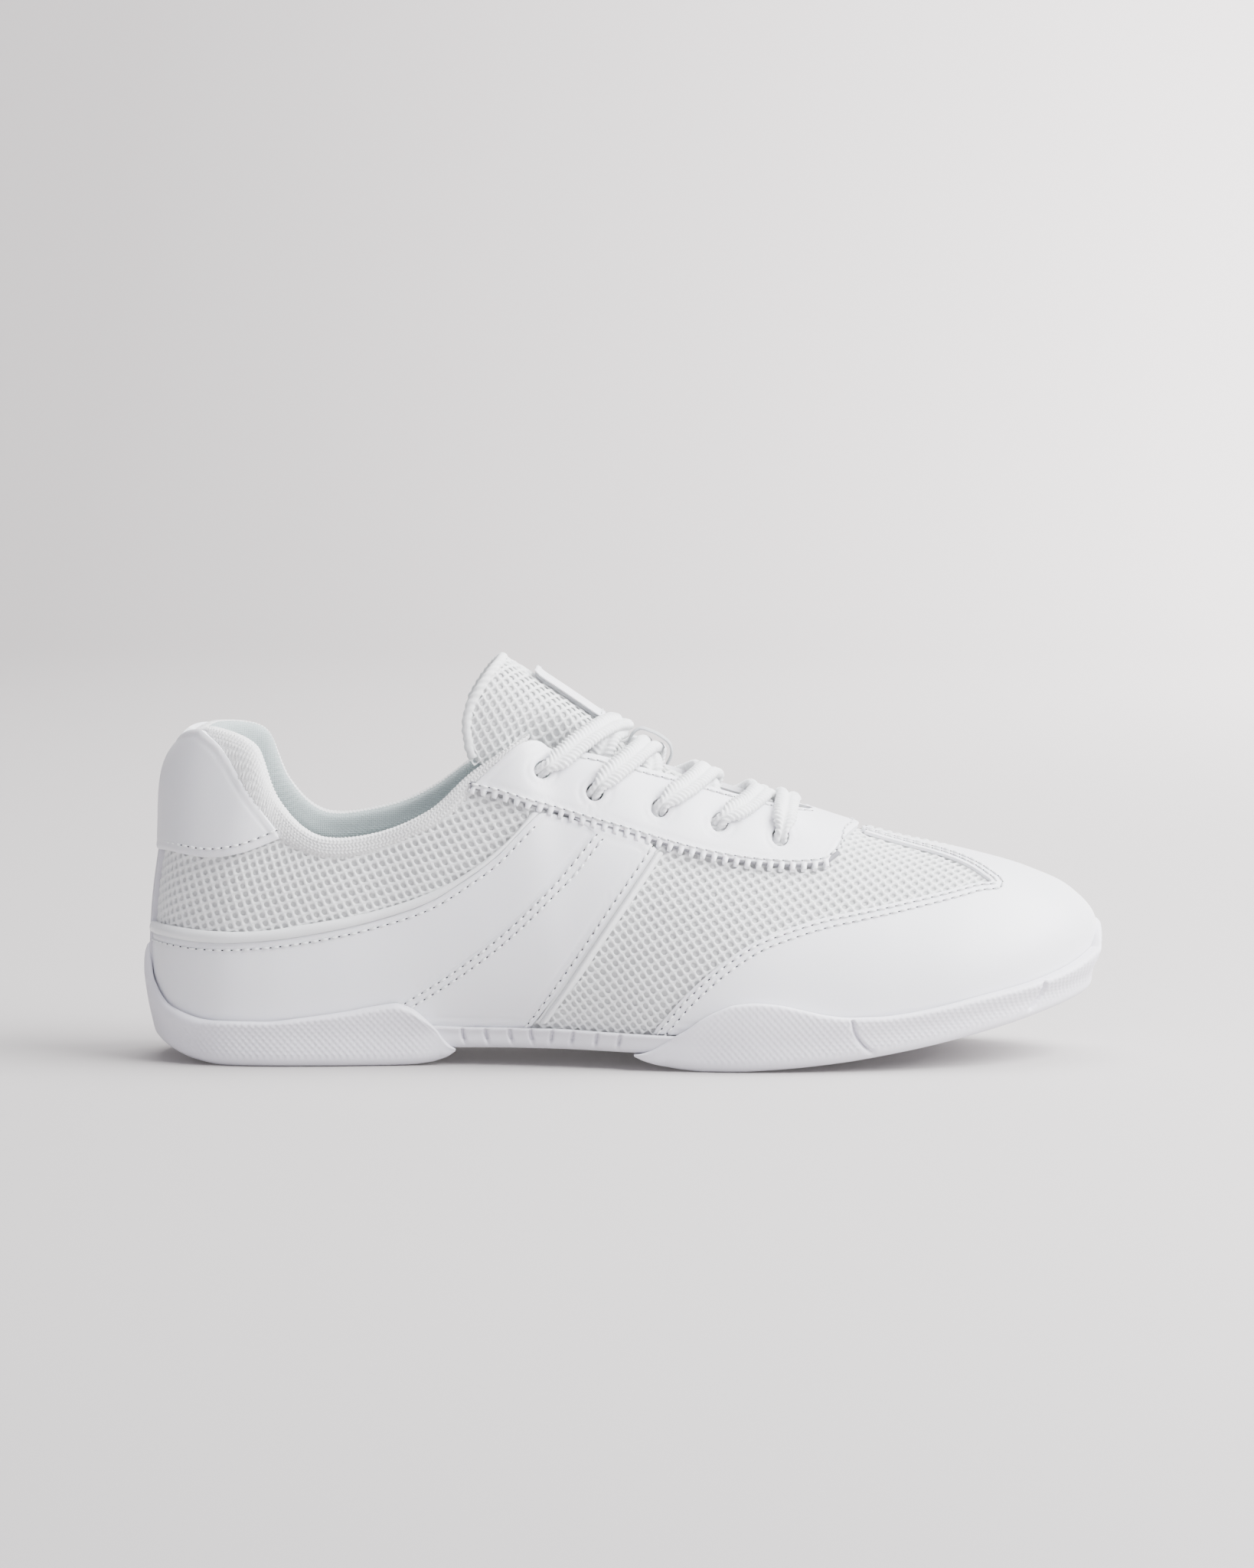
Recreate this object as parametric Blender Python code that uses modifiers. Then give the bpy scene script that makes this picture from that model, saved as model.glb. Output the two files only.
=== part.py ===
"""Cheer shoe: a right shoe as an assembly of separate pieces.

Frame: +X to the toe, +Z up, -Y the outer (lateral) side, +Y the inner (medial) side.
The origin is under the middle of the shoe, on the floor. The left shoe is the mirror image.
Design lengths are in millimetres and become metres when a mesh is made.
"""
import math

import bmesh
import bpy
import numpy as np
from mathutils import Vector
from mathutils.bvhtree import BVHTree
from mathutils.geometry import delaunay_2d_cdt
from mathutils.kdtree import KDTree

MM = 0.001
OBJECT_NAME = "cheer_shoe"

# Layers of the upper, as distances outward from the outer face of the base cloth.
BASE = (-1.2, 0.0)
OVERLAY = (0.85, 1.6)
TRIM = (0.7, 2.3)
BACKSTAY = (2.2, 3.0)
STIFFENER = (-2.9, -1.8)
LINING = (-4.8, -3.5)
SOLE_WALL = (2.2, 4.4)

GAP = 0.4
CELL = 8.0
FOOT = 0.03
EYELET_RADIUS = 3.2
LACE_WIDTH = 5.0
LACE_THICKNESS = 2.0
TONGUE_THICKNESS = 4.5

# The last: stations from the back of the heel to the tip of the toe. Each is a
# profile of four control points from the feather line up to the topline or the ridge.
STATIONS = (
    ((-128, 0, 9.0), (-133.3, 0, 34), (-126.8, 0, 66), (-120, 0, 89)),
    ((-123.5, 15.5, 9), (-128.5, 18.5, 34), (-122, 17.5, 66), (-114, 12.5, 91.5)),
    ((-112, 24.5, 9), (-114, 29, 34), (-110, 26, 64), (-101.5, 21, 87)),
    ((-98, 27.5, 9), (-99, 32.5, 32), (-99, 29, 56), (-94.3, 24.5, 72)),
    ((-82, 27.5, 9), (-82, 33, 30), (-84, 31, 50), (-84, 27.5, 63)),
    ((-64, 26, 9), (-64, 33, 30), (-67, 31, 50), (-68, 28, 63.8)),
    ((-46, 25, 9), (-47, 34, 28), (-52, 33, 53), (-53.5, 28.3, 70)),
    ((-31, 26.5, 9), (-34, 36.5, 28), (-40, 34, 60), (-41.5, 26.5, 80.5)),
    ((-18, 29.5, 8.8), (-21, 39, 28), (-28, 34, 70), (-28, 23.5, 89.5)),
    ((-6, 33, 8.6), (-9, 42, 30), (-17, 31, 95.5), (-16, 0, 95.5)),
    ((10, 37.5, 8.4), (8, 45, 29), (7, 28.5, 85.2), (7, 0, 85.2)),
    ((30, 41, 8.2), (30, 48, 26), (30, 26, 75), (30, 0, 75)),
    ((50, 41.5, 9), (51, 48, 24), (51.5, 25, 66.8), (51.5, 0, 66.8)),
    ((74, 39.5, 11.8), (76, 46, 25), (75, 25.5, 59.6), (75, 0, 59.6)),
    ((92.5, 35, 15), (96, 42, 27), (95, 24, 55.3), (95, 0, 55.3)),
    ((108.5, 27, 18.5), (113.5, 33.5, 30), (112, 20, 50.1), (112, 0, 50.1)),
    ((119, 17, 21), (124.5, 22, 31), (123, 13, 44.5), (123, 0, 44.5)),
    ((124.6, 9, 23), (129, 11.5, 30), (129, 7, 37.5), (129, 0, 37.5)),
    ((127.5, 0, 25), (127.6, 0, 25.1), (127.7, 0, 25.3), (127.8, 0, 25.5)),
)
# The foot is not symmetric: the inner side is waisted, and the toe swings inwards.
MEDIAL_WIDTH = ((-135, 1), (-70, 0.98), (-25, 0.86), (25, 0.94), (60, 1.0), (135, 1.0))
TOE_SWING = ((-140, 0), (30, 0), (95, 2.2), (135, 6))
# Height of the tread's underside along the shoe: heel bevel, flat, toe spring.
GROUND = ((-134, 14), (-130, 8.9), (-126, 4.6), (-117, 1.0), (-109, 0), (28, 0), (40, 0.6),
          (50, 1.5), (60, 2.7), (70, 4.3), (81, 6.3), (90, 8.2), (100, 10.5), (111, 13.4),
          (123, 16.8), (129, 19.6), (134, 23))
COLLAR_END = 0.397
SPAN = 330.0
GIRTH = 90.0


def smooth_curve(knots, values, at):
    """A curve with continuous slope through the rows of values."""
    knots = np.asarray(knots, float)
    values = np.asarray(values, float)
    slope = np.gradient(values, knots, axis=0)
    i = np.clip(np.searchsorted(knots, at, side="right") - 1, 0, len(knots) - 2)
    step = (knots[i + 1] - knots[i])[:, None]
    u = (np.asarray(at) - knots[i])[:, None] / step
    start = (1 + 2 * u) * (1 - u) ** 2 * values[i] + u * (1 - u) ** 2 * step * slope[i]
    return start + u * u * (3 - 2 * u) * values[i + 1] + u * u * (u - 1) * step * slope[i + 1]


def graph(table, x):
    """Height of a smooth graph through (x, value) pairs that never overshoots them."""
    xs, ys = (np.array(column, float) for column in zip(*table))
    x = np.clip(np.atleast_1d(np.asarray(x, float)), xs[0], xs[-1])
    rise = np.diff(ys) / np.diff(xs)
    level = rise[:-1] * rise[1:] <= 0
    mean = 2 * rise[:-1] * rise[1:] / np.where(level, 1, rise[:-1] + rise[1:])
    slope = np.r_[rise[0], np.where(level, 0, mean), rise[-1]]
    i = np.clip(np.searchsorted(xs, x, side="right") - 1, 0, len(xs) - 2)
    step = xs[i + 1] - xs[i]
    u = (x - xs[i]) / step
    start = (1 + 2 * u) * (1 - u) ** 2 * ys[i] + u * (1 - u) ** 2 * step * slope[i]
    return start + u * u * (3 - 2 * u) * ys[i + 1] + u * u * (u - 1) * step * slope[i + 1]


def mirrored_stations():
    """Knots and control points from the lateral toe round the heel to the medial toe."""
    rows = np.array(STATIONS, float)
    apart = np.linalg.norm(np.diff(rows, axis=0), axis=2)
    run = np.r_[0, np.cumsum((apart.mean(axis=1) + apart.max(axis=1)) / 2)]
    knots = run / run[-1]
    lateral = rows.copy()
    lateral[:, :, 1] *= -1
    both = np.concatenate([lateral[::-1], rows[1:]])
    return np.r_[-knots[::-1], knots[1:]], both.reshape(len(both), 12)


KNOTS, CONTROLS = mirrored_stations()


def last_point(s, t):
    """Points of the last: s runs round the shoe, t from the feather line upwards."""
    s = np.atleast_1d(np.asarray(s, float))
    t = np.atleast_1d(np.asarray(t, float))[:, None]
    c = smooth_curve(KNOTS, CONTROLS, s).reshape(-1, 4, 3)
    p = (1 - t) ** 3 * c[:, 0] + 3 * t * (1 - t) ** 2 * c[:, 1]
    p = p + 3 * t * t * (1 - t) * c[:, 2] + t ** 3 * c[:, 3]
    p[:, 1] *= np.where(p[:, 1] > 0, graph(MEDIAL_WIDTH, p[:, 0]), 1.0)
    p[:, 1] += graph(TOE_SWING, p[:, 0])
    return p


def last_normal(s, t):
    """Outward unit normals of the last."""
    s = np.atleast_1d(np.asarray(s, float))
    t = np.atleast_1d(np.asarray(t, float))
    e = 0.004
    s0, s1 = np.clip(s - e, -1, 1), np.clip(s + e, -1, 1)
    t0, t1 = np.clip(t - e, 0, 1), np.clip(t + e, 0, 1)
    along = last_point(s1, t) - last_point(s0, t)
    up = last_point(s, t1) - last_point(s, t0)
    n = np.cross(up, along)
    return n / np.maximum(np.linalg.norm(n, axis=1), 1e-9)[:, None]


class Locator:
    """Finds (s, t) of points seen along one axis, from the side or from above."""

    def __init__(self, side, axes):
        self.side, self.axes = side, list(axes)
        s, t = np.meshgrid(np.linspace(0.0, 0.999, 260), np.linspace(0, 1, 70))
        self.s, self.t = s.ravel() * side, t.ravel()
        flat = last_point(self.s, self.t)[:, self.axes]
        self.tree = KDTree(len(flat))
        for i, q in enumerate(flat):
            self.tree.insert((q[0], q[1], 0), i)
        self.tree.balance()

    def find(self, wanted):
        wanted = np.asarray(wanted, float)
        near = [self.tree.find((q[0], q[1], 0))[1] for q in wanted]
        s, t = self.s[near].copy(), self.t[near].copy()
        e = 1e-4
        for _ in range(6):
            here = last_point(s, t)[:, self.axes]
            ds = (last_point(s + e, t)[:, self.axes] - here) / e
            dt = (last_point(s, t + e)[:, self.axes] - here) / e
            miss = wanted - here
            det = ds[:, 0] * dt[:, 1] - ds[:, 1] * dt[:, 0]
            det = np.where(abs(det) < 1.0, np.sign(det) + (det == 0), det)
            s += np.clip((miss[:, 0] * dt[:, 1] - miss[:, 1] * dt[:, 0]) / det, -.02, .02)
            t += np.clip((miss[:, 1] * ds[:, 0] - miss[:, 0] * ds[:, 1]) / det, -.04, .04)
            s, t = np.clip(s, -0.999, 0.999), np.clip(t, 0, 1)
        return s, t


SIDE_VIEW = {-1: Locator(-1, (0, 2)), 1: Locator(1, (0, 2))}
TOP_VIEW = {-1: Locator(-1, (0, 1)), 1: Locator(1, (0, 1))}


def reset_scene():
    for old in list(bpy.data.objects):
        bpy.data.objects.remove(old, do_unlink=True)
    parts = bpy.data.collections.new(OBJECT_NAME)
    cutters = bpy.data.collections.new("cutters")
    for group in (parts, cutters):
        bpy.context.scene.collection.children.link(group)
    return parts, cutters


PARTS, CUTTERS = reset_scene()


def material(name, color, roughness):
    mat = bpy.data.materials.new(name)
    mat.use_nodes = True
    shader = mat.node_tree.nodes["Principled BSDF"]
    shader.inputs["Base Color"].default_value = (*color, 1)
    shader.inputs["Roughness"].default_value = roughness
    shader.inputs["Metallic"].default_value = 0.0
    mat.diffuse_color = (*color, 1)
    return mat


WHITE_LEATHER = ((0.82, 0.83, 0.84), 0.42)
WHITE_MESH = ((0.78, 0.79, 0.80), 0.85)
GREY_LINING = ((0.55, 0.60, 0.61), 0.9)
WHITE_RUBBER = ((0.78, 0.78, 0.82), 0.55)
WHITE_PLASTIC = ((0.85, 0.86, 0.87), 0.3)
GREY_PLASTIC = ((0.22, 0.23, 0.25), 0.5)
WHITE_CORD = ((0.86, 0.87, 0.88), 0.9)
BOARD = ((0.70, 0.68, 0.62), 0.8)


def add_object(name, mesh, look, group=None):
    ob = bpy.data.objects.new(name, mesh)
    (group or PARTS).objects.link(ob)
    if look:
        mesh.materials.append(material(name, *look))
    return ob


def mesh_from(name, points, faces):
    """A mesh from millimetre points, with coinciding points joined."""
    bm = bmesh.new()
    verts = [bm.verts.new(Vector(p) * MM) for p in points]
    for face in faces:
        bm.faces.new([verts[i] for i in face])
    bmesh.ops.remove_doubles(bm, verts=bm.verts, dist=0.00001)
    loose = [v for v in bm.verts if not v.link_faces]
    bmesh.ops.delete(bm, geom=loose, context="VERTS")
    mesh = bpy.data.meshes.new(name)
    bm.to_mesh(mesh)
    bm.free()
    return mesh


def close_outward(mesh):
    bm = bmesh.new()
    bm.from_mesh(mesh)
    bmesh.ops.recalc_face_normals(bm, faces=bm.faces)
    if bm.calc_volume(signed=True) < 0:
        bmesh.ops.reverse_faces(bm, faces=bm.faces)
    bm.to_mesh(mesh)
    bm.free()


def resample(points, spacing, closed=False):
    """Points at about equal spacing along a smooth curve through the given ones."""
    points = np.asarray(points, float)
    if closed:
        points = np.vstack([points, points[:1]])
    chord = np.r_[0, np.cumsum(np.linalg.norm(np.diff(points, axis=0), axis=1))]
    count = max(2, int(round(chord[-1] / spacing)) + 1)
    return smooth_curve(chord, points, np.linspace(0, chord[-1], count))


# --- flat patterns: round = (s, t) round the heel, over = (|s|, signed girth) over the ridge


def round_map(flat):
    s, t = flat[:, 0] / SPAN, np.clip(flat[:, 1] / GIRTH, 0, 1)
    return s, t


def over_map(flat):
    girth = np.clip(flat[:, 1] / GIRTH, -1, 1)
    side = np.where(girth < 0, -1.0, 1.0)
    return side * flat[:, 0] / SPAN, 1 - abs(girth)


def seen_from_side(points, side, over=False):
    s, t = SIDE_VIEW[side].find(points)
    if over:
        return np.c_[abs(s) * SPAN, side * (1 - t) * GIRTH]
    return np.c_[s * SPAN, t * GIRTH]


def seen_from_above(points, side):
    s, t = TOP_VIEW[side].find(points)
    return np.c_[abs(s) * SPAN, side * (1 - t) * GIRTH]


def fill_pattern(loops, cell):
    """Triangles that fill a flat outline, with holes, on a lattice of about one cell."""
    points, edges = [], []
    for loop in loops:
        first = len(points)
        points += [tuple(p) for p in loop]
        n = len(loop)
        edges += [(first + i, first + (i + 1) % n) for i in range(n)]
    rim = np.array(points)
    low, high = rim.min(0), rim.max(0)
    rows = int((high[1] - low[1]) / (cell * 0.87)) + 1
    for r in range(rows + 1):
        v = low[1] + r * cell * 0.87
        for u in np.arange(low[0] + (r % 2) * cell / 2, high[0], cell):
            if np.min(np.hypot(rim[:, 0] - u, rim[:, 1] - v)) > cell * 0.55:
                points.append((u, v))
    flat = [Vector(p) for p in points]
    verts, _, faces, *_ = delaunay_2d_cdt(flat, edges, [], 1, 1e-4)
    verts = np.array([tuple(v) for v in verts])
    kept = [list(f) for f in faces
            if not any(surrounds(hole, verts[f].mean(axis=0)) for hole in loops[1:])]
    return verts, kept


def surrounds(loop, point):
    """Whether a flat point lies inside a small loop."""
    x, y = loop[:, 0] - point[0], loop[:, 1] - point[1]
    nx, ny = np.roll(x, -1), np.roll(y, -1)
    crosses = (y > 0) != (ny > 0)
    at = x + (nx - x) * y / np.where(crosses, y - ny, 1)
    return bool(np.sum(crosses & (at > 0)) % 2)


def panel(name, loops, mapping, layer, look, cell=CELL):
    """A sheet cut to a flat outline, laid on the last in one layer of the upper."""
    flat, faces = fill_pattern(loops, cell)
    s, t = mapping(flat)
    points = last_point(s, t) + last_normal(s, t) * layer[0]
    mesh = mesh_from(name, points, faces)
    ob = add_object(name, mesh, look)
    face_outward(mesh)
    skin = ob.modifiers.new("thickness", "SOLIDIFY")
    skin.thickness = (layer[1] - layer[0]) * MM
    skin.offset = 1.0
    skin.use_even_offset = True
    return ob


def face_outward(mesh):
    """Turns an open sheet so that its faces look away from the middle of the shoe."""
    bm = bmesh.new()
    bm.from_mesh(mesh)
    bmesh.ops.recalc_face_normals(bm, faces=bm.faces)
    vote = 0.0
    for face in bm.faces:
        c = face.calc_center_median()
        inside = Vector((min(max(c.x, -0.10), 0.09), 0.0, 0.03))
        vote += face.calc_area() * face.normal.dot((c - inside).normalized())
    if vote < 0:
        bmesh.ops.reverse_faces(bm, faces=bm.faces)
    bm.to_mesh(mesh)
    bm.free()


# --- outlines, as seen from the side (x, z) or from above (x, y) on the lateral half

BASE_SEAM = ((-63, 11), (-50, 28), (-36, 45), (-24, 62), (-17, 74))
COLLAR_SEAM = ((-112, 71), (-101, 66.5), (-93.8, 62.5), (-86, 59), (-77.5, 58), (-70, 59),
               (-58.5, 63.8), (-47.1, 70.2), (-37, 80), (-29.7, 87.2))
THROAT = ((-20, -20.5), (0, -17), (20, -13.2), (36, -9.8), (45, -6.8), (50, -3.4))
THROAT_FRONT = 51.5
EYESTAY_EDGE = ((-42.4, 75.4), (-35.2, 74.0), (-26.8, 71.3), (-14.1, 67.5), (-3.5, 64.4),
                (7.1, 61.1), (17.7, 58), (28.2, 55.7), (38.8, 54.2), (49.4, 53.7),
                (55.5, 54.4), (59, 56.5))
EYESTAY_NOSE = ((61.8, -8.5), (63.6, -4))
EYESTAY_FRONT = 64.2
EYELETS = ((-22.9, 80.7), (-8.4, 74.5), (9.2, 69.8), (25.5, 65.6), (42.2, 61.4))
OVERLAY_TOP = ((-130, 35.4), (-126, 34.3), (-116, 33.6), (-98.7, 34.4), (-80.3, 37.3),
               (-68, 40.2), (-52, 46), (-43.5, 51.4), (-35.4, 57.4), (-28.9, 64),
               (-23.8, 69.2))
TRIM_TOP = ((-129.6, 39.3), (-125, 37.6), (-110, 36.9), (-98.7, 37.4), (-88.3, 39),
            (-67.4, 43.1), (-57, 46.4), (-47, 51), (-37.5, 57.4), (-30.4, 63.7),
            (-25.6, 69.6))
STRIPE_REAR = ((-70, 13), (-60.2, 18.9), (-48.8, 26.1), (-35.4, 36.2), (-21.7, 49.1),
               (-8.7, 64.0))
STRIPE_FRONT = ((-26.5, 10), (-20.2, 18.4), (-13.6, 27.8), (-0.7, 46.6), (8.4, 59.4))
TRIM_BACK = ((-23.4, 13.2), (-19.8, 18.4), (-13.2, 27.8), (-0.3, 46.6), (8.7, 59.0))
TRIM_FRONT = ((-20.6, 13.2), (-17.3, 18.4), (-6.5, 35.1), (0.7, 44.4), (10.9, 58.2))
WING_EDGE = ((7.7, 10.8), (17.4, 21.8), (28.7, 31.1), (35.2, 35), (44.3, 38.3), (53.2, 40.7),
             (63.6, 42.6), (77.1, 45), (88.3, 47.1), (95.7, 48.6), (101, 49.6))
WING_TIP = ((103, -19.5), (101.5, -16.6), (97.5, -12.6), (90, -8.6), (80, -6.2), (66, -5.2))
HEEL_TAB_LOWER = ((-123, 57.6), (-112.8, 56.8), (-105.6, 58), (-94.2, 62.2))
HEEL_TAB_FRONT = ((-95.5, 64.4), (-98.5, 67.6), (-102.1, 72), (-106, 78.5), (-110.5, 85.4),
                  (-114, 89.6))


def mirrored(flat):
    return flat * np.array([1.0, -1.0])


def ridge_mark(x):
    return seen_from_above([(x, graph(TOE_SWING, x)[0])], -1)[0] * np.array([1.0, 0.0])


def over_side(points, spacing=CELL):
    return seen_from_side(resample(points, spacing), -1, over=True)


def over_top(points, spacing=CELL):
    return seen_from_above(resample(points, spacing), -1)


def round_side(points, spacing=CELL):
    return seen_from_side(resample(points, spacing), -1)


def other_side(flat):
    """The same outline on the medial half of a round-the-heel pattern."""
    return flat * np.array([-1.0, 1.0])


def row(s_from, s_to, t, spacing=CELL):
    count = max(2, int(abs(s_to - s_from) * SPAN / spacing) + 1)
    s = np.linspace(s_from, s_to, count)
    return np.c_[s * SPAN, np.full(count, t * GIRTH)]


def join_loop(*runs):
    """One closed loop from runs of points, without repeated neighbours."""
    points = [np.asarray(p, float) for run in runs for p in run]
    loop = [points[0]]
    for p in points[1:]:
        if np.hypot(*(p - loop[-1])) > 0.8:
            loop.append(p)
    if np.hypot(*(loop[0] - loop[-1])) < 0.8:
        loop.pop()
    fine = []
    for p, q in zip(loop, loop[1:] + loop[:1]):
        steps = max(1, int(np.hypot(*(q - p)) / (CELL * 1.3)))
        fine += [p + (q - p) * k / steps for k in range(steps)]
    return np.array(fine)


def eyelet_holes(mapping_of):
    """Small loops round each eyelet centre in a flat pattern."""
    loops = []
    for x, z in EYELETS:
        ring = []
        for k in range(8):
            a = 2 * math.pi * k / 8
            ring.append((x + EYELET_RADIUS * math.cos(a), z + EYELET_RADIUS * math.sin(a)))
        loops.append(mapping_of(ring))
    return loops


def over_ring(ring):
    return seen_from_side(ring, -1, over=True)


def build_vamp():
    """The front of the upper under the overlays: one cloth over the toe and both sides."""
    seam = over_side(BASE_SEAM)
    start = abs(SIDE_VIEW[-1].find([BASE_SEAM[0]])[0][0])
    holes = [h for ring in eyelet_holes(over_ring)[1:] for h in (ring, mirrored(ring))]
    for name, end, back, layer, look in (("vamp_mesh", 0.955, 0, BASE, WHITE_MESH),
                                         ("vamp_lining", 0.925, 2.8, LINING, GREY_LINING)):
        top = over_top([(x, y - back) for x, y in ((-12, -19),) + THROAT[1:]])
        foot = [(s * SPAN, -(1 - FOOT) * GIRTH) for s in np.linspace(start, end, 34)]
        half = list(top[::-1]) + list(seam[::-1]) + foot
        loop = join_loop([ridge_mark(THROAT_FRONT + back)], half,
                         mirrored(np.array(half))[::-1])
        panel(name, [loop] + holes, over_map, layer, look)


def build_quarters():
    """Mesh quarters at the back: lateral and medial, meeting at the heel seam."""
    seam = round_side(tuple((x - 1.3, z) for x, z in BASE_SEAM))
    lip = seen_from_above([(-14.5, -19.5), (-20, -20.6)], -1) * np.array([-1.0, 1.0])
    lip[:, 1] = GIRTH + lip[:, 1]
    top = round_side(tuple((x, z - GAP) for x, z in COLLAR_SEAM))
    low = row(-0.004, SIDE_VIEW[-1].find([BASE_SEAM[0]])[0][0] + 0.006, FOOT)
    back = row(-0.004, -0.06, top[0][1] / GIRTH)
    loop = join_loop(low, seam, lip, top[::-1], back[::-1])
    hole = round_ring(EYELETS[0])
    panel("quarter_mesh_lateral", [loop, hole], round_map, BASE, WHITE_MESH)
    panel("quarter_mesh_medial", [other_side(loop), other_side(hole)], round_map, BASE,
          WHITE_MESH)
    sunk = top - np.array([0, 1.2])
    half = join_loop(row(-0.02, low[-1][0] / SPAN, FOOT), seam, lip, sunk[::-1],
                     row(-0.06, -0.02, sunk[0][1] / GIRTH))
    whole = join_loop(half, other_side(half)[::-1])
    panel("quarter_lining", [whole, hole, other_side(hole)], round_map, LINING, GREY_LINING,
          cell=9)


def round_ring(centre):
    x, z = centre
    ring = [(x + EYELET_RADIUS * math.cos(a), z + EYELET_RADIUS * math.sin(a))
            for a in np.linspace(0, 2 * math.pi, 8, endpoint=False)]
    return seen_from_side(ring, -1)


def build_eyestay():
    """U-shaped lace reinforcement with five punched holes on each side."""
    edge = over_side(EYESTAY_EDGE, 4.5)
    nose = over_top(EYESTAY_NOSE)
    rear = over_side(((-41.6, 76.2), (-36.6, 80.8), (-30.6, 86.4)))
    corner = over_top([(-25, -21.6)] + list(THROAT))
    half = list(corner[::-1]) + list(rear[::-1]) + list(edge) + list(nose)
    loop = join_loop([ridge_mark(THROAT_FRONT)], half, [ridge_mark(EYESTAY_FRONT)],
                     mirrored(np.array(half))[::-1])
    holes = [h for ring in eyelet_holes(over_ring) for h in (ring, mirrored(ring))]
    panel("eyestay", [loop] + holes, over_map, OVERLAY, WHITE_LEATHER)


def build_toe_overlay():
    """Toe cap with two side wings and the strip that runs back along the ridge."""
    wing = over_side(WING_EDGE)
    strip = over_top(WING_TIP)
    start, end = abs(SIDE_VIEW[-1].find([WING_EDGE[0]])[0][0]), 0.98
    foot = np.array([(s * SPAN, -(1 - FOOT) * GIRTH) for s in np.linspace(end, start, 26)])
    half = list(foot) + list(wing) + list(strip)
    loop = join_loop(half, [ridge_mark(EYESTAY_FRONT + 1.0)], mirrored(np.array(half))[::-1])
    panel("toe_overlay", [loop], over_map, OVERLAY, WHITE_LEATHER)
    panel("toe_puff", [over_toe_shape(0.85, 0.94)], over_map, STIFFENER, BOARD, cell=8)


def over_toe_shape(start, end):
    foot = [(s * SPAN, -(1 - FOOT) * GIRTH) for s in np.linspace(end, start, 10)]
    rise = [(start * SPAN, g * GIRTH) for g in np.linspace(-0.8, 0, 6)]
    half = np.array(foot + rise)
    return join_loop(half, mirrored(half)[::-1])


def side_pair(name, loop, layer, look, cell=CELL):
    panel(name + "_lateral", [loop], round_map, layer, look, cell)
    panel(name + "_medial", [other_side(loop)], round_map, layer, look, cell)


def foot_run(x_from, x_to):
    """Feather edge between two lengthwise places on the lateral side."""
    s = SIDE_VIEW[-1].find([(x_from, 11), (x_to, 11)])[0]
    return row(s[0], s[1], FOOT)


def lowered(points, drop):
    return tuple((x, z - drop) for x, z in points)


def build_side_overlays():
    """Stripe panel, rear overlay and the two moulded trims on each side."""
    rear = round_side(STRIPE_REAR)
    top = round_side(lowered(EYESTAY_EDGE[3:6], 1.2))
    front = round_side(STRIPE_FRONT)
    foot = foot_run(-26.5, -71)
    side_pair("stripe", join_loop(rear, top[:-1], front[::-1], foot), OVERLAY, WHITE_LEATHER)
    left = round_side(TRIM_BACK, 5)
    right = round_side(TRIM_FRONT, 5)
    side_pair("trim_front", join_loop(left, right[::-1]), TRIM, WHITE_PLASTIC)
    upper = round_side(OVERLAY_TOP[1:])
    start = np.array([(-0.004 * SPAN, upper[0][1])])
    meet = round_side([(x - 1.4, z) for x, z in STRIPE_REAR])
    lid = round_side([(-21.4, 68.2), (-10.9, 64.6)])
    foot = np.vstack([row(-0.004, meet[0][0] / SPAN, FOOT)])
    side_pair("heel_overlay", join_loop(start, upper, lid, meet[::-1], foot[::-1]), OVERLAY,
              WHITE_LEATHER)
    low = round_side([(x, z + GAP) for x, z in OVERLAY_TOP[1:]], 5)
    high = round_side(TRIM_TOP[1:], 5)
    edge = np.array([(-0.022 * SPAN, low[0][1]), (-0.022 * SPAN, high[0][1])])
    low = low[low[:, 0] < -0.024 * SPAN]
    high = high[high[:, 0] < -0.024 * SPAN]
    side_pair("trim_rear", join_loop(edge[1:], edge[:1], low, high[::-1]), TRIM,
              WHITE_PLASTIC)


def build_heel():
    """Heel tab over the collar, backstay strip over the seam, and the counter inside."""
    lower = round_side(HEEL_TAB_LOWER)
    front = round_side(HEEL_TAB_FRONT)
    crown = row(front[-1][0] / SPAN, -0.005, 0.97)
    half = join_loop(lower, front, crown)
    panel("heel_tab", [join_loop(half, other_side(half)[::-1])], round_map, OVERLAY,
          WHITE_LEATHER)
    wide = 0.0165
    strip = join_loop(row(-wide, wide, 0.21, 5), row(wide, -wide, 0.955, 5))
    panel("heel_backstay", [strip], round_map, BACKSTAY, GREY_PLASTIC, cell=6)
    half = join_loop(row(0, -0.2, FOOT + 0.01), [np.array([-0.205 * SPAN, 0.3 * GIRTH])],
                     row(-0.15, 0, 0.56))
    panel("heel_counter", [join_loop(half, other_side(half)[::-1])], round_map, STIFFENER,
          BOARD, cell=8)


# --- sole

RIM = ((-128, 24.5), (-126.5, 19.5), (-122, 15.5), (-112, 12.6), (-98, 12.6), (-89, 13.7),
       (-77, 15.5), (-64, 17.7), (-55, 17.5), (-30, 14), (0, 14), (17, 14), (21, 14.8),
       (25, 16.8), (30, 18.6), (35, 19), (41, 18.5), (47, 17.3), (54, 15.9), (60, 15.3),
       (68, 15.4), (77, 16.4), (86, 18.2), (94, 20.2), (103, 22.2), (112, 24.6), (119, 27.4),
       (124, 31), (127.5, 36.6))
FLOOR = ((-134, 4.6), (3, 4.6), (40, 4.3), (50, 4.7), (60, 5.5), (74, 7.5), (93, 11.2),
         (109, 15), (119.5, 18), (128, 21))
MIDSOLE_UNDERSIDE = ((-134, 5.0), (-72, 5.0), (-58, 5.9), (13, 5.9), (22, 5.0), (40, 4.7),
                     (50, 5.0), (60, 5.8), (74, 7.8), (93, 11.5), (109, 15.3),
                     (119.5, 18.3), (128, 21.3))
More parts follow.
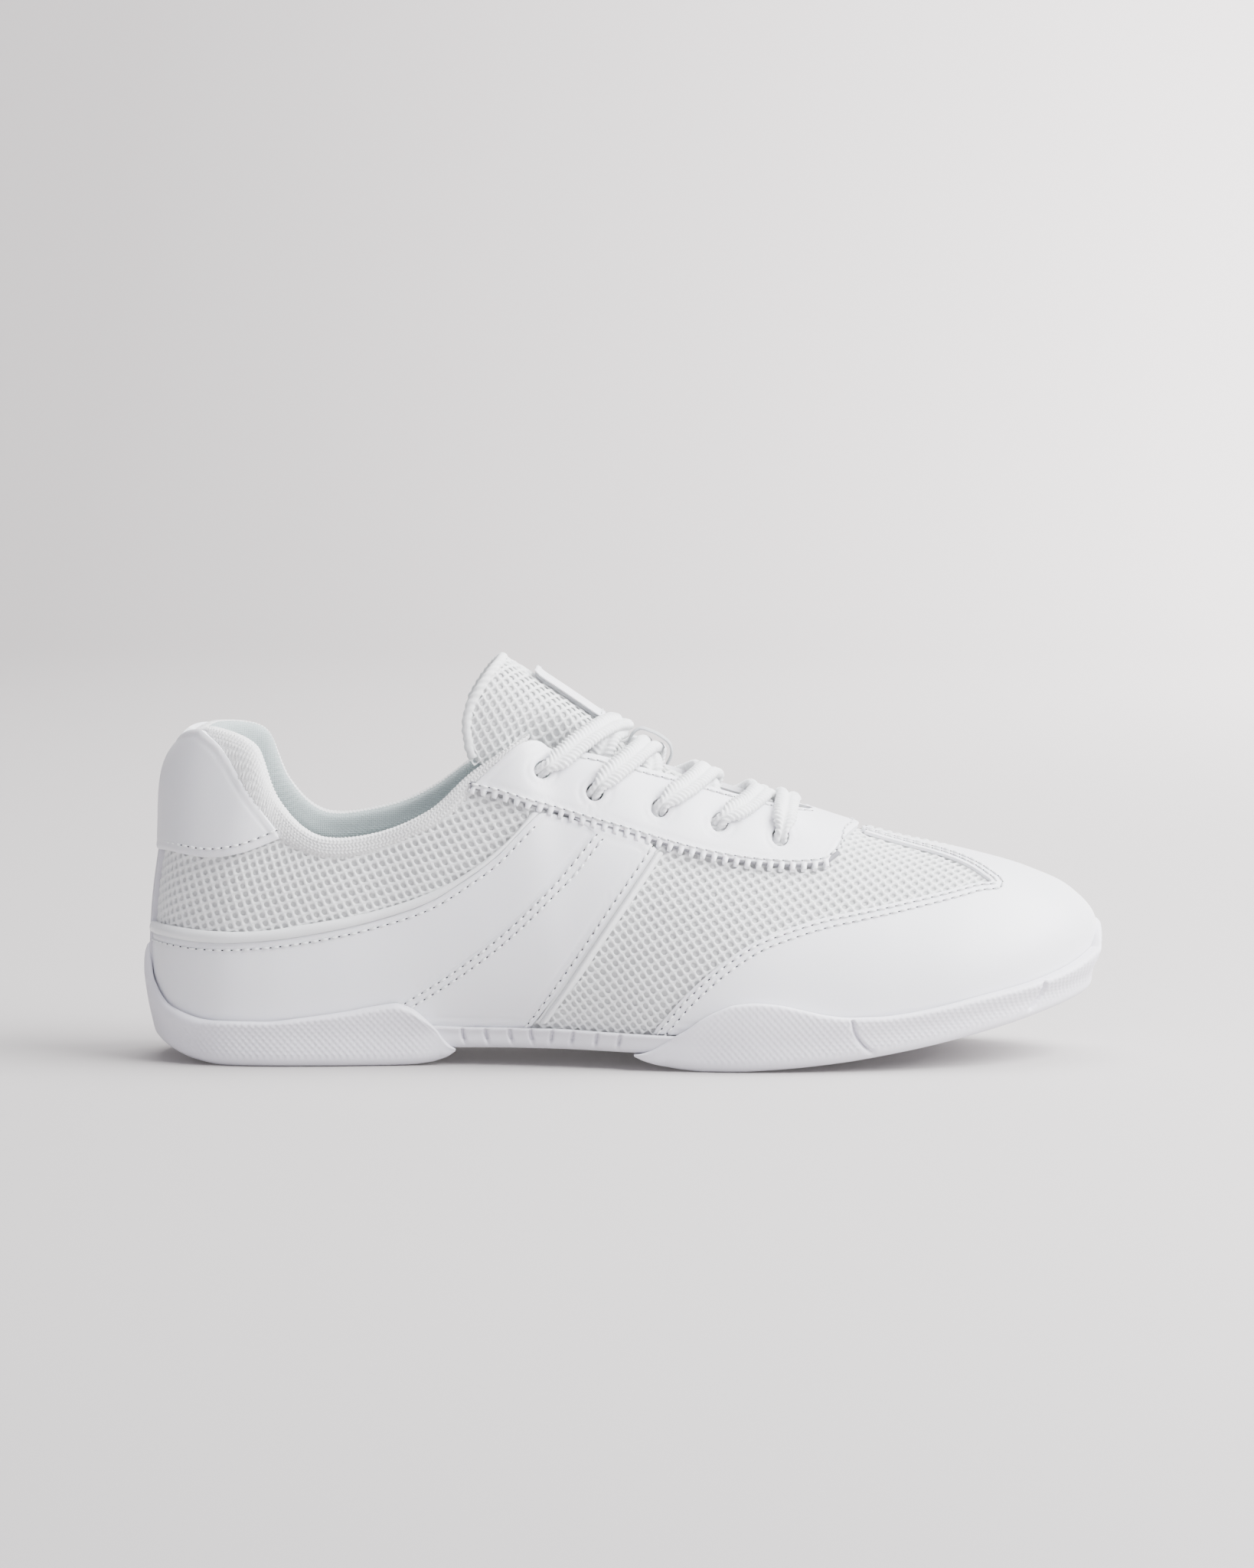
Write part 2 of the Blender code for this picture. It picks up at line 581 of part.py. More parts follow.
HEEL_POD_VIEW = ((-150, -20), (-150, 60), (-61, 60), (-60.4, 17.8), (-57.2, 16), (-54.2, 13.4),
                 (-51.7, 10.2), (-49.9, 7.3), (-46.2, 4), (-46, -20))
FORE_POD_VIEW = ((3.2, -20), (3.4, 4.3), (7.7, 5.6), (11.4, 7.9), (14.4, 10.3), (17.4, 11.3),
                 (20.6, 14), (21, 60), (150, 60), (150, -20))
BRIDGE_VIEW = ((-51.7, 10.9), (-51.1, 10.1), (-49.3, 7.4), (-45.5, 4.1), (-45, 1), (2.4, 1),
               (2.8, 4.7), (7.3, 6.1), (11, 8.4), (12.6, 9.8), (12.8, 10.6), (0, 10.2),
               (-20, 11.2), (-42, 10.5))
COLUMNS = np.r_[np.linspace(0.0, 0.12, 6), np.linspace(0.16, 0.78, 15),
                np.linspace(0.82, 0.985, 8)]
ROUND = np.r_[-COLUMNS[::-1], COLUMNS[1:]]


def feather_height(x):
    return graph([(foot[0], foot[2]) for foot, *_ in STATIONS], x)


def foot_ring(reach):
    """The feather line, moved outwards level with the floor."""
    e = 0.002
    p = last_point(ROUND, np.zeros(len(ROUND)))
    ahead = last_point(np.clip(ROUND + e, -1, 1), np.zeros(len(ROUND)))
    behind = last_point(np.clip(ROUND - e, -1, 1), np.zeros(len(ROUND)))
    run = (ahead - behind)[:, :2]
    run /= np.linalg.norm(run, axis=1)[:, None]
    p[:, 0] -= run[:, 1] * reach
    p[:, 1] += run[:, 0] * reach
    return p


def wall_ring(height, reach):
    """Points of the last at a given height at each column, moved outwards."""
    ts = np.linspace(0, 0.8, 50)
    found = []
    for s, z in zip(ROUND, height):
        heights = last_point(np.full(50, s), ts)[:, 2]
        found.append(np.interp(z, heights, ts))
    t = np.array(found)
    return last_point(ROUND, t) + last_normal(ROUND, t) * reach


def at_height(ring, heights):
    ring = ring.copy()
    ring[:, 2] = heights
    return ring


def ladder(first, count, up):
    """A floor across the shoe between lateral and medial columns of one ring."""
    half = count // 2
    faces = []
    for k in range(half):
        a, b = half - k, half - k - 1
        c, d = half + k + 1, half + k
        quad = [first + a, first + b, first + c, first + d]
        quad = [q for i, q in enumerate(quad) if q not in quad[:i]]
        faces.append(quad if up else quad[::-1])
    return faces


def stacked(name, rings, look):
    """A closed body through rings that go round the shoe, floored at both ends."""
    count = len(ROUND)
    points = np.vstack(rings)
    faces = ladder(0, count, True) + ladder((len(rings) - 1) * count, count, False)
    for r in range(len(rings) - 1):
        for i in range(count):
            j = (i + 1) % count
            a, b = r * count, (r + 1) * count
            faces.append([a + i, a + j, b + j, b + i])
    mesh = mesh_from(name, points, faces)
    bm = bmesh.new()
    bm.from_mesh(mesh)
    bmesh.ops.triangulate(bm, faces=bm.faces)
    bm.to_mesh(mesh)
    bm.free()
    close_outward(mesh)
    return add_object(name, mesh, look)


def bowl(name, ground, floor, rim, reach, look):
    """A sole unit: a floor with a wall that hugs the upper."""
    feather = last_point(ROUND, np.zeros(len(ROUND)))
    x = feather[:, 0]
    bevel = np.clip(1 - abs(ROUND) / 0.13, 0, 1) ** 1.5
    under = foot_ring(0.5 - 7 * bevel)
    edge = foot_ring(3.0 - 1.2 * bevel)
    inner = foot_ring(SOLE_WALL[0] + 0.1)
    lip = foot_ring(0.2 - 6 * bevel)
    z_rim = graph(rim, x)
    low = feather[:, 2] + 1.0
    rings = [at_height(under, graph(ground, under[:, 0])),
             at_height(edge, graph(ground, edge[:, 0]) * (1 - 0.25 * bevel) + 2.6),
             wall_ring(low, reach), wall_ring(z_rim - 0.8, reach),
             wall_ring(z_rim, reach - 0.8), wall_ring(z_rim, SOLE_WALL[0] + 0.2),
             wall_ring(low, SOLE_WALL[0] + 0.1),
             at_height(inner, graph(floor, x) + 0.8 + 3.4 * bevel),
             at_height(lip, graph(floor, lip[:, 0]))]
    return stacked(name, rings, look)


def prism(name, view):
    """A cutter: a side view pushed right through the shoe."""
    bm = bmesh.new()
    verts = [bm.verts.new((x * MM, -0.08, z * MM)) for x, z in view]
    face = bm.faces.new(verts)
    out = bmesh.ops.extrude_face_region(bm, geom=[face])
    moved = [g for g in out["geom"] if isinstance(g, bmesh.types.BMVert)]
    bmesh.ops.translate(bm, verts=moved, vec=(0, 0.16, 0))
    bmesh.ops.recalc_face_normals(bm, faces=bm.faces)
    mesh = bpy.data.meshes.new(name)
    bm.to_mesh(mesh)
    bm.free()
    ob = add_object(name, mesh, None, CUTTERS)
    ob.hide_render = True
    ob.display_type = "WIRE"
    return ob


def cut(target, cutter, operation):
    boolean = target.modifiers.new(cutter.name, "BOOLEAN")
    boolean.operation = operation
    boolean.object = cutter
    boolean.solver = "EXACT"


def build_sole():
    """Tread units under heel and forefoot, arch bridge, midsole, board and sockliner."""
    heel = bowl("outsole_heel", GROUND, FLOOR, RIM, SOLE_WALL[1], WHITE_RUBBER)
    cut(heel, prism("heel_view", HEEL_POD_VIEW), "INTERSECT")
    fore = bowl("outsole_forefoot", GROUND, FLOOR, RIM, SOLE_WALL[1], WHITE_RUBBER)
    cut(fore, prism("forefoot_view", FORE_POD_VIEW), "INTERSECT")
    underside, inside = ((-140, 4.3), (140, 4.3)), ((-140, 5.6), (140, 5.6))
    bridge = bowl("arch_bridge", underside, inside, RIM, 3.6, WHITE_RUBBER)
    cut(bridge, prism("bridge_view", BRIDGE_VIEW), "INTERSECT")
    bevel = np.clip(1 - abs(ROUND) / 0.13, 0, 1) ** 1.5
    slab("midsole", foot_ring(-0.6 - 7 * bevel), MIDSOLE_UNDERSIDE, 1.9,
         ((0.80, 0.80, 0.81), 0.8))
    board = foot_ring(-0.6)
    slab("strobel_board", board, [(x, z - 1.6) for (x, y, z), *_ in STATIONS], 0.4, BOARD)
    sock = foot_ring(-6.4 - 1.5 * bevel)
    slab("sockliner", sock, [(x, z + 0.3) for (x, y, z), *_ in STATIONS], -3.6,
         GREY_LINING)


def slab(name, ring, underside, below_feather, look):
    """A flat layer of the bottom that follows the toe spring."""
    rings = [at_height(ring, graph(underside, ring[:, 0])),
             at_height(ring, feather_height(ring[:, 0]) - below_feather)]
    return stacked(name, rings, look)


# --- collar, tongue and lace

def seam_share():
    """How far down the profile the collar band reaches, as (|s|, t) pairs."""
    s, t = SIDE_VIEW[-1].find(COLLAR_SEAM)
    return np.r_[0, abs(s), 0.405], np.r_[t[0] + 0.01, t, 0.985]


def build_collar():
    """Padded collar roll round the foot opening, ending at the eyestay corners."""
    places, share = seam_share()
    stops = np.linspace(-COLLAR_END, COLLAR_END, 49)
    t_seam = np.interp(abs(stops), places, share)
    top = last_point(stops, np.ones(len(stops)))
    seam = last_point(stops, t_seam)
    high = np.linalg.norm(top - seam, axis=1)
    up = (top - seam) / high[:, None]
    out = last_normal(stops, 0.5 + 0.5 * t_seam)
    fat = np.clip((COLLAR_END - abs(stops)) / 0.08, 0, 1)
    fat = 0.12 + 0.88 * fat * fat * (3 - 2 * fat)
    rings = []
    for k in range(len(stops)):
        h, f = high[k], fat[k]
        outline = ((-0.1, h - 0.4), (-0.1, 0.5 * h), (-1.2, 0.1 * h), (-2.6 - 1.7 * f, -0.3),
                   (-4.4 - 3.3 * f, 0.12 * h), (-5.6 - 3.8 * f, 0.6 * h),
                   (-5.6 - 3.6 * f, h + 3.5 * f), (-5.8 - 0.6 * f, h + 6 * f + 0.6),
                   (-5.5, h + 4 * f), (-5.5, h - 0.4))
        rings.append([top[k] + out[k] * a - up[k] * b for a, b in outline])
    tube("collar", rings, GREY_LINING)


def tube(name, rings, look):
    """A closed body through open-ended rings, capped at both ends."""
    n = len(rings[0])
    points = np.array(rings).reshape(-1, 3)
    faces = [list(range(n))[::-1], [len(points) - n + i for i in range(n)]]
    for r in range(len(rings) - 1):
        for i in range(n):
            j = (i + 1) % n
            faces.append([r * n + i, r * n + j, (r + 1) * n + j, (r + 1) * n + i])
    mesh = mesh_from(name, points, faces)
    bm = bmesh.new()
    bm.from_mesh(mesh)
    bmesh.ops.triangulate(bm, faces=bm.faces)
    bm.to_mesh(mesh)
    bm.free()
    close_outward(mesh)
    return add_object(name, mesh, look)


TONGUE_RIDGE = ((-30.5, 109), (-23.6, 104.6), (-14, 98.2), (-4.6, 91.8), (7, 85.0),
                (25, 77.0), (41, 70.0), (47, 67.8))
TONGUE_SECTION = ((0, 0), (4, 0.25), (8, 1.1), (12, 3.2), (15.5, 7.5), (17.6, 13), (18.6, 20),
                  (18.8, 25))
LABEL_SECTION = ((0, 0), (4, 0.25), (6.8, 0.8))
# The tongue folds about a line across the shoe where the free flap leaves the laced part.
HINGE = (-6.0, 0.0, 92.6)


def last_surface():
    """The last as a search tree, over the part in front of the collar."""
    s = np.linspace(0.26, 0.93, 90)
    t = np.linspace(0.25, 1, 40)
    tree_points, faces = [], []
    for side in (-1, 1):
        base = len(tree_points)
        for a in s:
            tree_points += [tuple(p) for p in last_point(np.full(40, side * a), t)]
        for i in range(len(s) - 1):
            for j in range(39):
                a = base + i * 40 + j
                quad = [a, a + 40, a + 41, a + 1]
                faces.append(quad if side > 0 else quad[::-1])
    return BVHTree.FromPolygons(tree_points, faces)


LAST = last_surface()


def outside(point):
    """Nearest place on the last, its outward normal, and the signed distance."""
    place, normal, _, gap = LAST.find_nearest(Vector(point))
    centre = Vector((place.x - 10, 0, place.z - 40))
    if normal.dot(place - centre) < 0:
        normal = -normal
    return place, normal, (Vector(point) - place).dot(normal)


def throat_half(x):
    table = [(a, -b) for a, b in THROAT] + [(THROAT_FRONT, 0.0)]
    return float(graph([(-40, 24)] + table, x)[0])


def blend(x, low, high):
    u = min(1.0, max(0.0, (x - low) / (high - low)))
    return u * u * (3 - 2 * u)


def sink(x):
    """How far the tight lace presses the tongue down along its ridge."""
    return 2.8 * blend(x, -7, 6)


def tuck(point):
    """Presses a tongue point in under the linings, leaving it full along the ridge."""
    place, normal, off = outside(point)
    edge = throat_half(place.x)
    bare = 1 - blend(abs(point[1]), max(edge - 9, 0.0), edge - 3)
    limit = -8.6 + (8.1 - sink(place.x)) * bare
    on_rim = (Vector(point) - place).length > abs(off) + 0.4
    if on_rim or off < limit:
        return np.array(point)
    return np.array(place + normal * limit)


def tongue_sheet(places, drops):
    """Outer face of the tongue: rows along the ridge, each across the instep."""
    xs = np.array([p[0] for p in TONGUE_RIDGE], float)
    ridge = smooth_curve(np.arange(len(xs)), np.array(TONGUE_RIDGE, float), places)
    ahead = smooth_curve(np.arange(len(xs)), np.array(TONGUE_RIDGE, float),
                         np.clip(places + 0.01, 0, len(xs) - 1))
    behind = smooth_curve(np.arange(len(xs)), np.array(TONGUE_RIDGE, float),
                          np.clip(places - 0.01, 0, len(xs) - 1))
    rows = []
    for c, d in zip(ridge, ahead - behind):
        d = d / np.linalg.norm(d)
        line = []
        for side, (y, drop) in drops:
            raw = (c[0] + d[1] * drop, side * y, c[1] - d[0] * drop)
            line.append(tuck(raw))
        rows.append(line)
    return np.array(rows)


def build_tongue():
    """Padded tongue: the part held under the laces, and the free flap above them."""
    drops = [(-1, p) for p in TONGUE_SECTION[::-1]] + [(1, p) for p in TONGUE_SECTION[1:]]
    places = np.linspace(0, len(TONGUE_RIDGE) - 1, 24)
    outer = tongue_sheet(places, drops)
    normals = grid_normals(outer)
    inner = outer - normals * TONGUE_THICKNESS
    for name, keep in (("tongue_base", True), ("tongue_flap", False)):
        ob = grid_body(name, outer, inner, WHITE_MESH)
        view = FLAP_VIEW if keep else BASE_VIEW
        cut(ob, prism(name + "_limit", view), "DIFFERENCE")


FLAP_VIEW = ((-5.6, 120), (-5.6, 90), (-32, 74.5), (-80, 60), (-80, 120))
BASE_VIEW = ((-6.1, 120), (-6.1, 90.3), (-32.3, 75), (-32.3, 40), (80, 40), (80, 120))


def grid_normals(grid):
    along = np.gradient(grid, axis=0)
    across = np.gradient(grid, axis=1)
    n = np.cross(along, across)
    n /= np.linalg.norm(n, axis=2)[:, :, None]
    if n[:, n.shape[1] // 2, 2].mean() < 0:
        n = -n
    return n


def grid_body(name, outer, inner, look):
    """A closed body between two matching grids of points."""
    rows, cols = outer.shape[:2]
    points = np.vstack([outer.reshape(-1, 3), inner.reshape(-1, 3)])
    size = rows * cols
    faces = []
    for r in range(rows - 1):
        for c in range(cols - 1):
            a = r * cols + c
            faces.append([a, a + 1, a + cols + 1, a + cols])
            faces.append([size + a, size + a + cols, size + a + cols + 1, size + a + 1])
    rim = [c for c in range(cols)] + [r * cols + cols - 1 for r in range(1, rows)]
    rim += [(rows - 1) * cols + c for c in range(cols - 2, -1, -1)]
    rim += [r * cols for r in range(rows - 2, 0, -1)]
    for i, a in enumerate(rim):
        b = rim[(i + 1) % len(rim)]
        faces.append([b, a, size + a, size + b])
    mesh = mesh_from(name, points, faces)
    bm = bmesh.new()
    bm.from_mesh(mesh)
    bmesh.ops.triangulate(bm, faces=bm.faces)
    bm.to_mesh(mesh)
    bm.free()
    close_outward(mesh)
    return add_object(name, mesh, look)


# The lace crosses the tongue four times. RIDGE_CROSSINGS are where pairs of strands meet.
RIDGE_CROSSINGS = (-2.0, 7.0, 23.0, 37.5)
FRONT_BAR_X = 44.5
LACE_OVER = 3.2
LACE_LOW = 1.1
LACE_HIGH = 3.7
LACE_BOW = 3.2
LACE_UNDER = -6.4
TAIL = ((0.385, 0.78), (0.36, 0.64), (0.33, 0.5), (0.30, 0.36), (0.265, 0.27), (0.22, 0.25))
AGLET_LENGTH = 20.0


def on_last(x, y, off):
    """A point above the instep at a distance out from the last."""
    place, normal, *_ = LAST.ray_cast(Vector((x, y, 200)), Vector((0, 0, -1)))
    if normal.z < 0:
        normal = -normal
    return np.array(place + normal * off)


def eye(number, side, off):
    """A point on the centre line of an eyelet."""
    s, t = SIDE_VIEW[-1].find([EYELETS[number]])
    s = abs(s) * side
    return (last_point(s, t) + last_normal(s, t) * off)[0]


def through_hole(number, side):
    """From under the lining out through an eyelet."""
    return [eye(number, side, off) for off in (LACE_UNDER + 1.2, -2.4, 1.2)]


def over_and_under(number, side):
    """From eyelet to the ridge on top, then in under the other edge to the next eyelet."""
    start, finish = eye(number, side, 0), eye(number + 1, -side, 0)
    ridge_x = RIDGE_CROSSINGS[number]
    lift = (LACE_HIGH if side < 0 else LACE_LOW) - sink(ridge_x)
    middle = np.array([ridge_x, graph(TOE_SWING, ridge_x)[0]])
    run = middle - start[:2]
    aside = np.array([abs(run[1]), side * run[0]]) / np.linalg.norm(run) * LACE_BOW
    points = []
    for share in (0.12, 0.35, 0.6, 0.82, 1.0):
        x, y = start[:2] + run * share + aside * math.sin(math.pi * share)
        bridged = min(1.0, abs(y - middle[1]) / (throat_half(x) - 1.0))
        points.append(on_last(x, y, lift + (LACE_OVER - lift) * bridged))
    edge = throat_half(ridge_x)
    for reach, off in ((0.22 * edge, lift), (0.5 * edge, lift + 0.2), (edge - 4.2, -2.2),
                       (edge - 1.2, -5.4), (edge + 2.0, LACE_UNDER)):
        share = max(0.0, reach / abs(finish[1] - middle[1]))
        x, y = middle * (1 - share) + finish[:2] * share
        points.append(on_last(x, y, off))
    return points


def lace_route():
    """The whole lace, from the tail inside the lateral side to the tail in the medial."""
    tail = [(last_point(-s, t) + last_normal(-s, t) * LACE_UNDER)[0] for s, t in TAIL]
    route = tail[::-1]
    for number, side in ((0, -1), (1, 1), (2, -1), (3, 1)):
        route += through_hole(number, side) + over_and_under(number, side)
    route += through_hole(4, -1)
    bar = [(-1, share) for share in (0.15, 0.45, 0.8)]
    bar += [(1, share) for share in (1.0, 0.8, 0.45, 0.15)]
    for side, share in bar:
        x, y = eye(4, side, 0)[:2] * (1 - share) + np.array([FRONT_BAR_X, 0.4]) * share
        route.append(on_last(x, y, LACE_OVER - 0.9 * share ** 3))
    route += through_hole(4, 1)[::-1]
    for number, side in ((3, -1), (2, 1), (1, -1), (0, 1)):
        route += over_and_under(number, side)[::-1] + through_hole(number, side)[::-1]
    route += [(last_point(s, t) + last_normal(s, t) * LACE_UNDER)[0] for s, t in TAIL]
    return np.array(route)


def lace_frames(path):
    """Width directions along the lace: flat to the upper, turning smoothly at the holes."""
    along = np.gradient(path, axis=0)
    along /= np.linalg.norm(along, axis=1)[:, None]
    across = []
    last = None
    for p, d in zip(path, along):
        _, normal, _ = outside(p)
        flat = np.cross(d, np.array(normal))
        weight = min(1.0, float(flat @ flat))
        if last is None:
            last = flat
        if flat @ last < 0:
            flat = -flat
        kept = last - d * (last @ d)
        kept /= np.linalg.norm(kept)
        mixed = kept * (1 - weight) + flat * weight
        last = mixed / np.linalg.norm(mixed)
        across.append(last)
    return along, np.array(across)


EYELET_CENTRES = np.array([eye(k, side, -2.0) for k in range(5) for side in (-1, 1)])


def near_hole(p):
    """0 away from every eyelet, 1 inside one."""
    apart = np.linalg.norm(EYELET_CENTRES - p, axis=1).min()
    return 1 - blend(apart, 5.0, 7.5)


def build_lace():
    """One flat lace along its whole route, and the aglets on its two ends."""
    path = resample(lace_route(), 3.2)
    along, across = lace_frames(path)
    rings = []
    for p, d, a in zip(path, along, across):
        squeeze = near_hole(p)
        wide = (LACE_WIDTH * (1 - squeeze) + 3.0 * squeeze) / 2
        thick = LACE_THICKNESS / 2
        up = np.cross(a, d)
        rings.append([p + a * wide * u + up * thick * v for u, v in
                      ((1, 0), (0.6, 1), (-0.6, 1), (-1, 0), (-0.6, -1), (0.6, -1))])
    tube("lace", rings, WHITE_CORD)
    for name, side, end in (("aglet_lateral", -1, path[0]), ("aglet_medial", 1, path[-1])):
        s, t = TAIL[-1][0] * side, TAIL[-1][1]
        start = end - last_normal(s, t)[0] * 0.8
        goal = (last_point(s * 0.75, t) - last_normal(s * 0.75, t) * 7.8)[0]
        away = (goal - start) / np.linalg.norm(goal - start)
        rod(name, start + away * GAP, start + away * (GAP + AGLET_LENGTH), 1.4,
            ((0.85, 0.86, 0.87), 0.2))


def hang_on_hinge(names):
    """Parents the pieces that fold with the tongue to an empty on the fold line."""
    axis = bpy.data.objects.new("tongue_fold_axis", None)
    axis.location = Vector(HINGE) * MM
    PARTS.objects.link(axis)
    for name in names:
        piece = bpy.data.objects[name]
        piece.parent = axis
        piece.location = -Vector(HINGE) * MM


def rod(name, start, end, radius, look):
    """A round bar between two points."""
    start, end = Vector(start) * MM, Vector(end) * MM
    mesh = bpy.data.meshes.new(name)
    bm = bmesh.new()
    bmesh.ops.create_cone(bm, cap_ends=True, segments=10, radius1=radius * MM,
                          radius2=radius * MM, depth=(end - start).length)
    bm.to_mesh(mesh)
    bm.free()
    ob = add_object(name, mesh, look)
    ob.location = (start + end) / 2
    ob.rotation_mode = "QUATERNION"
    ob.rotation_quaternion = (end - start).to_track_quat("Z", "Y")
    return ob


def build_tongue_trims():
    """Blank folded label on the flap, and the webbing keeper that the lace runs through."""
    drops = [(-1, p) for p in LABEL_SECTION[::-1]] + [(1, p) for p in LABEL_SECTION[1:]]
    sheet = tongue_sheet(np.linspace(0.55, 2.3, 9), drops)
    normals = grid_normals(sheet)
    grid_body("tongue_label", sheet + normals * 2.6, sheet + normals * 1.5, WHITE_LEATHER)
    profile = ((1.3, -1.2), (1.3, 2.4), (3.0, 4.3), (10.0, 3.9), (12.8, 1.6), (12.8, -2.4))
    inner = ((2.1, -1.2), (2.1, 2.2), (3.4, 3.6), (9.6, 3.2), (12.0, 1.3), (12.0, -2.4))
    rings = []
    for (x, off), (x2, off2) in zip(profile, inner):
        outer = [on_last(x, y, off) for y in (-2.2, 2.2)]
        under = [on_last(x2, y, off2) for y in (2.2, -2.2)]
        rings.append(outer + under)
    tube("lace_keeper", rings, ((0.5, 0.52, 0.54), 0.8))


def main():
    build_vamp()
    build_quarters()
    build_eyestay()
    build_toe_overlay()
    build_side_overlays()
    build_heel()
    build_sole()
    build_collar()
    build_tongue()
    build_tongue_trims()
    build_lace()
    hang_on_hinge(("tongue_flap", "tongue_label"))


main()
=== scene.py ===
"""Looks of the cheer shoe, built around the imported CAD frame.

Frame: +X to the toe, +Z up, -Y the outer (lateral) side. Design lengths are in millimetres
and become metres when a mesh is made. The last, the outlines and the lace's route are those
of the CAD model; this script adds the fine shape of every surface and its material.
"""
import math

import bmesh
import bpy
import numpy as np
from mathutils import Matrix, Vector, noise
from mathutils.bvhtree import BVHTree
from mathutils.geometry import delaunay_2d_cdt
from mathutils.kdtree import KDTree


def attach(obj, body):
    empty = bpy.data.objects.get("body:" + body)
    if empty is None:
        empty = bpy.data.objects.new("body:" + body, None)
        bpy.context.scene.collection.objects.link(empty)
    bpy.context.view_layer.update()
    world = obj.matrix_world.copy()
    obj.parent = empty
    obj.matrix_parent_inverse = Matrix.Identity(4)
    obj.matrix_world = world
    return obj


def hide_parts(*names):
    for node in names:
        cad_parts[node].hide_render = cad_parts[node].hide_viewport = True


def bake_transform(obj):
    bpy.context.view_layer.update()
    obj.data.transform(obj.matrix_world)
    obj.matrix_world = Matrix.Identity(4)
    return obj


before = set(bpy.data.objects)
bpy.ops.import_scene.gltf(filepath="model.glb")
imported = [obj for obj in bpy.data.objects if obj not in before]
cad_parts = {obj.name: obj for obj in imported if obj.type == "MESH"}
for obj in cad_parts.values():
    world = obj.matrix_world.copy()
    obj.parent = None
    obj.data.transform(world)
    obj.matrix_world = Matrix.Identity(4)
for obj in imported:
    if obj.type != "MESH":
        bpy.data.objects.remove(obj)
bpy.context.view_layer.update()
MM = 0.001
CELL = 2.4

# --- camera: level with the shoe's outer side, five degrees above it

VIEW_CENTRE = Vector((0.0005, 0.0, 0.0749))
VIEW_HEIGHT = 0.4331
CAMERA_DISTANCE = 2.0
CAMERA_ELEVATION = math.radians(5.0)
SENSOR_LONG_SIDE = 36.0


def make_camera():
    data = bpy.data.cameras.new("camera")
    data.sensor_width = SENSOR_LONG_SIDE
    data.lens = SENSOR_LONG_SIDE * CAMERA_DISTANCE / VIEW_HEIGHT
    data.clip_start = 0.05
    camera = bpy.data.objects.new("camera", data)
    bpy.context.scene.collection.objects.link(camera)
    back = Vector((0, -math.cos(CAMERA_ELEVATION), math.sin(CAMERA_ELEVATION)))
    camera.location = VIEW_CENTRE + back * CAMERA_DISTANCE
    camera.rotation_euler = back.to_track_quat("Z", "Y").to_euler()
    bpy.context.scene.camera = camera


make_camera()

# --- materials


class Nodes:
    """A small helper that adds and links the nodes of one Principled material."""

    def __init__(self, name, color, roughness):
        self.mat = bpy.data.materials.new(name)
        self.mat.use_nodes = True
        self.mat.diffuse_color = (*color, 1)
        self.tree = self.mat.node_tree
        self.shader = self.tree.nodes["Principled BSDF"]
        self.shader.inputs["Base Color"].default_value = (*color, 1)
        self.shader.inputs["Roughness"].default_value = roughness
        coords = self.add("ShaderNodeTexCoord")
        self.place = coords.outputs["Object"]

    def add(self, kind, **values):
        node = self.tree.nodes.new(kind)
        for key, value in values.items():
            if key in node.inputs:
                node.inputs[key].default_value = value
            else:
                setattr(node, key, value)
        return node

    def link(self, out, node, name):
        self.tree.links.new(out, node.inputs[name])

    def noise(self, per_metre, detail=2.0, rough=0.5):
        node = self.add("ShaderNodeTexNoise", Scale=per_metre, Detail=detail, Roughness=rough)
        self.link(self.place, node, "Vector")
        return node.outputs["Fac"]

    def tint(self, amount, per_metre, color):
        """Slow colour variation between the colour and a slightly darker one."""
        mix = self.add("ShaderNodeMix", data_type="RGBA")
        mix.inputs[6].default_value = (*color, 1)
        mix.inputs[7].default_value = (*(c * (1 - amount) for c in color), 1)
        self.tree.links.new(self.noise(per_metre, 3.0), mix.inputs[0])
        self.link(mix.outputs[2], self.shader, "Base Color")

    def painted_light_fade_along_x(self, start, end, left, right):
        """Painted light falloff: the colour changes slowly from one side of the paper to the
        other.
        """
        parts = self.add("ShaderNodeSeparateXYZ")
        self.link(self.place, parts, "Vector")
        ramp = self.add("ShaderNodeMapRange")
        ramp.inputs["From Min"].default_value = start
        ramp.inputs["From Max"].default_value = end
        self.link(parts.outputs["X"], ramp, "Value")
        mix = self.add("ShaderNodeMix", data_type="RGBA")
        mix.inputs[6].default_value = (*left, 1)
        mix.inputs[7].default_value = (*right, 1)
        self.tree.links.new(ramp.outputs["Result"], mix.inputs[0])
        self.link(mix.outputs[2], self.shader, "Base Color")

    def bump(self, height, strength, distance):
        node = self.add("ShaderNodeBump", Strength=strength, Distance=distance)
        self.link(height, node, "Height")
        previous = self.shader.inputs["Normal"].links
        if previous:
            self.tree.links.new(previous[0].from_socket, node.inputs["Normal"])
        self.link(node.outputs["Normal"], self.shader, "Normal")

    def vary_roughness(self, low, high, per_metre):
        ramp = self.add("ShaderNodeMapRange")
        ramp.inputs["To Min"].default_value = low
        ramp.inputs["To Max"].default_value = high
        self.tree.links.new(self.noise(per_metre, 4.0), ramp.inputs["Value"])
        self.link(ramp.outputs["Result"], self.shader, "Roughness")

    def waves(self, per_metre, direction, distortion=0.0):
        node = self.add("ShaderNodeTexWave", Scale=per_metre, Distortion=distortion)
        node.bands_direction = direction
        self.link(self.place, node, "Vector")
        return node.outputs["Fac"]

    def product(self, one, other):
        node = self.add("ShaderNodeMath", operation="MULTIPLY")
        self.tree.links.new(one, node.inputs[0])
        self.tree.links.new(other, node.inputs[1])
        return node.outputs[0]


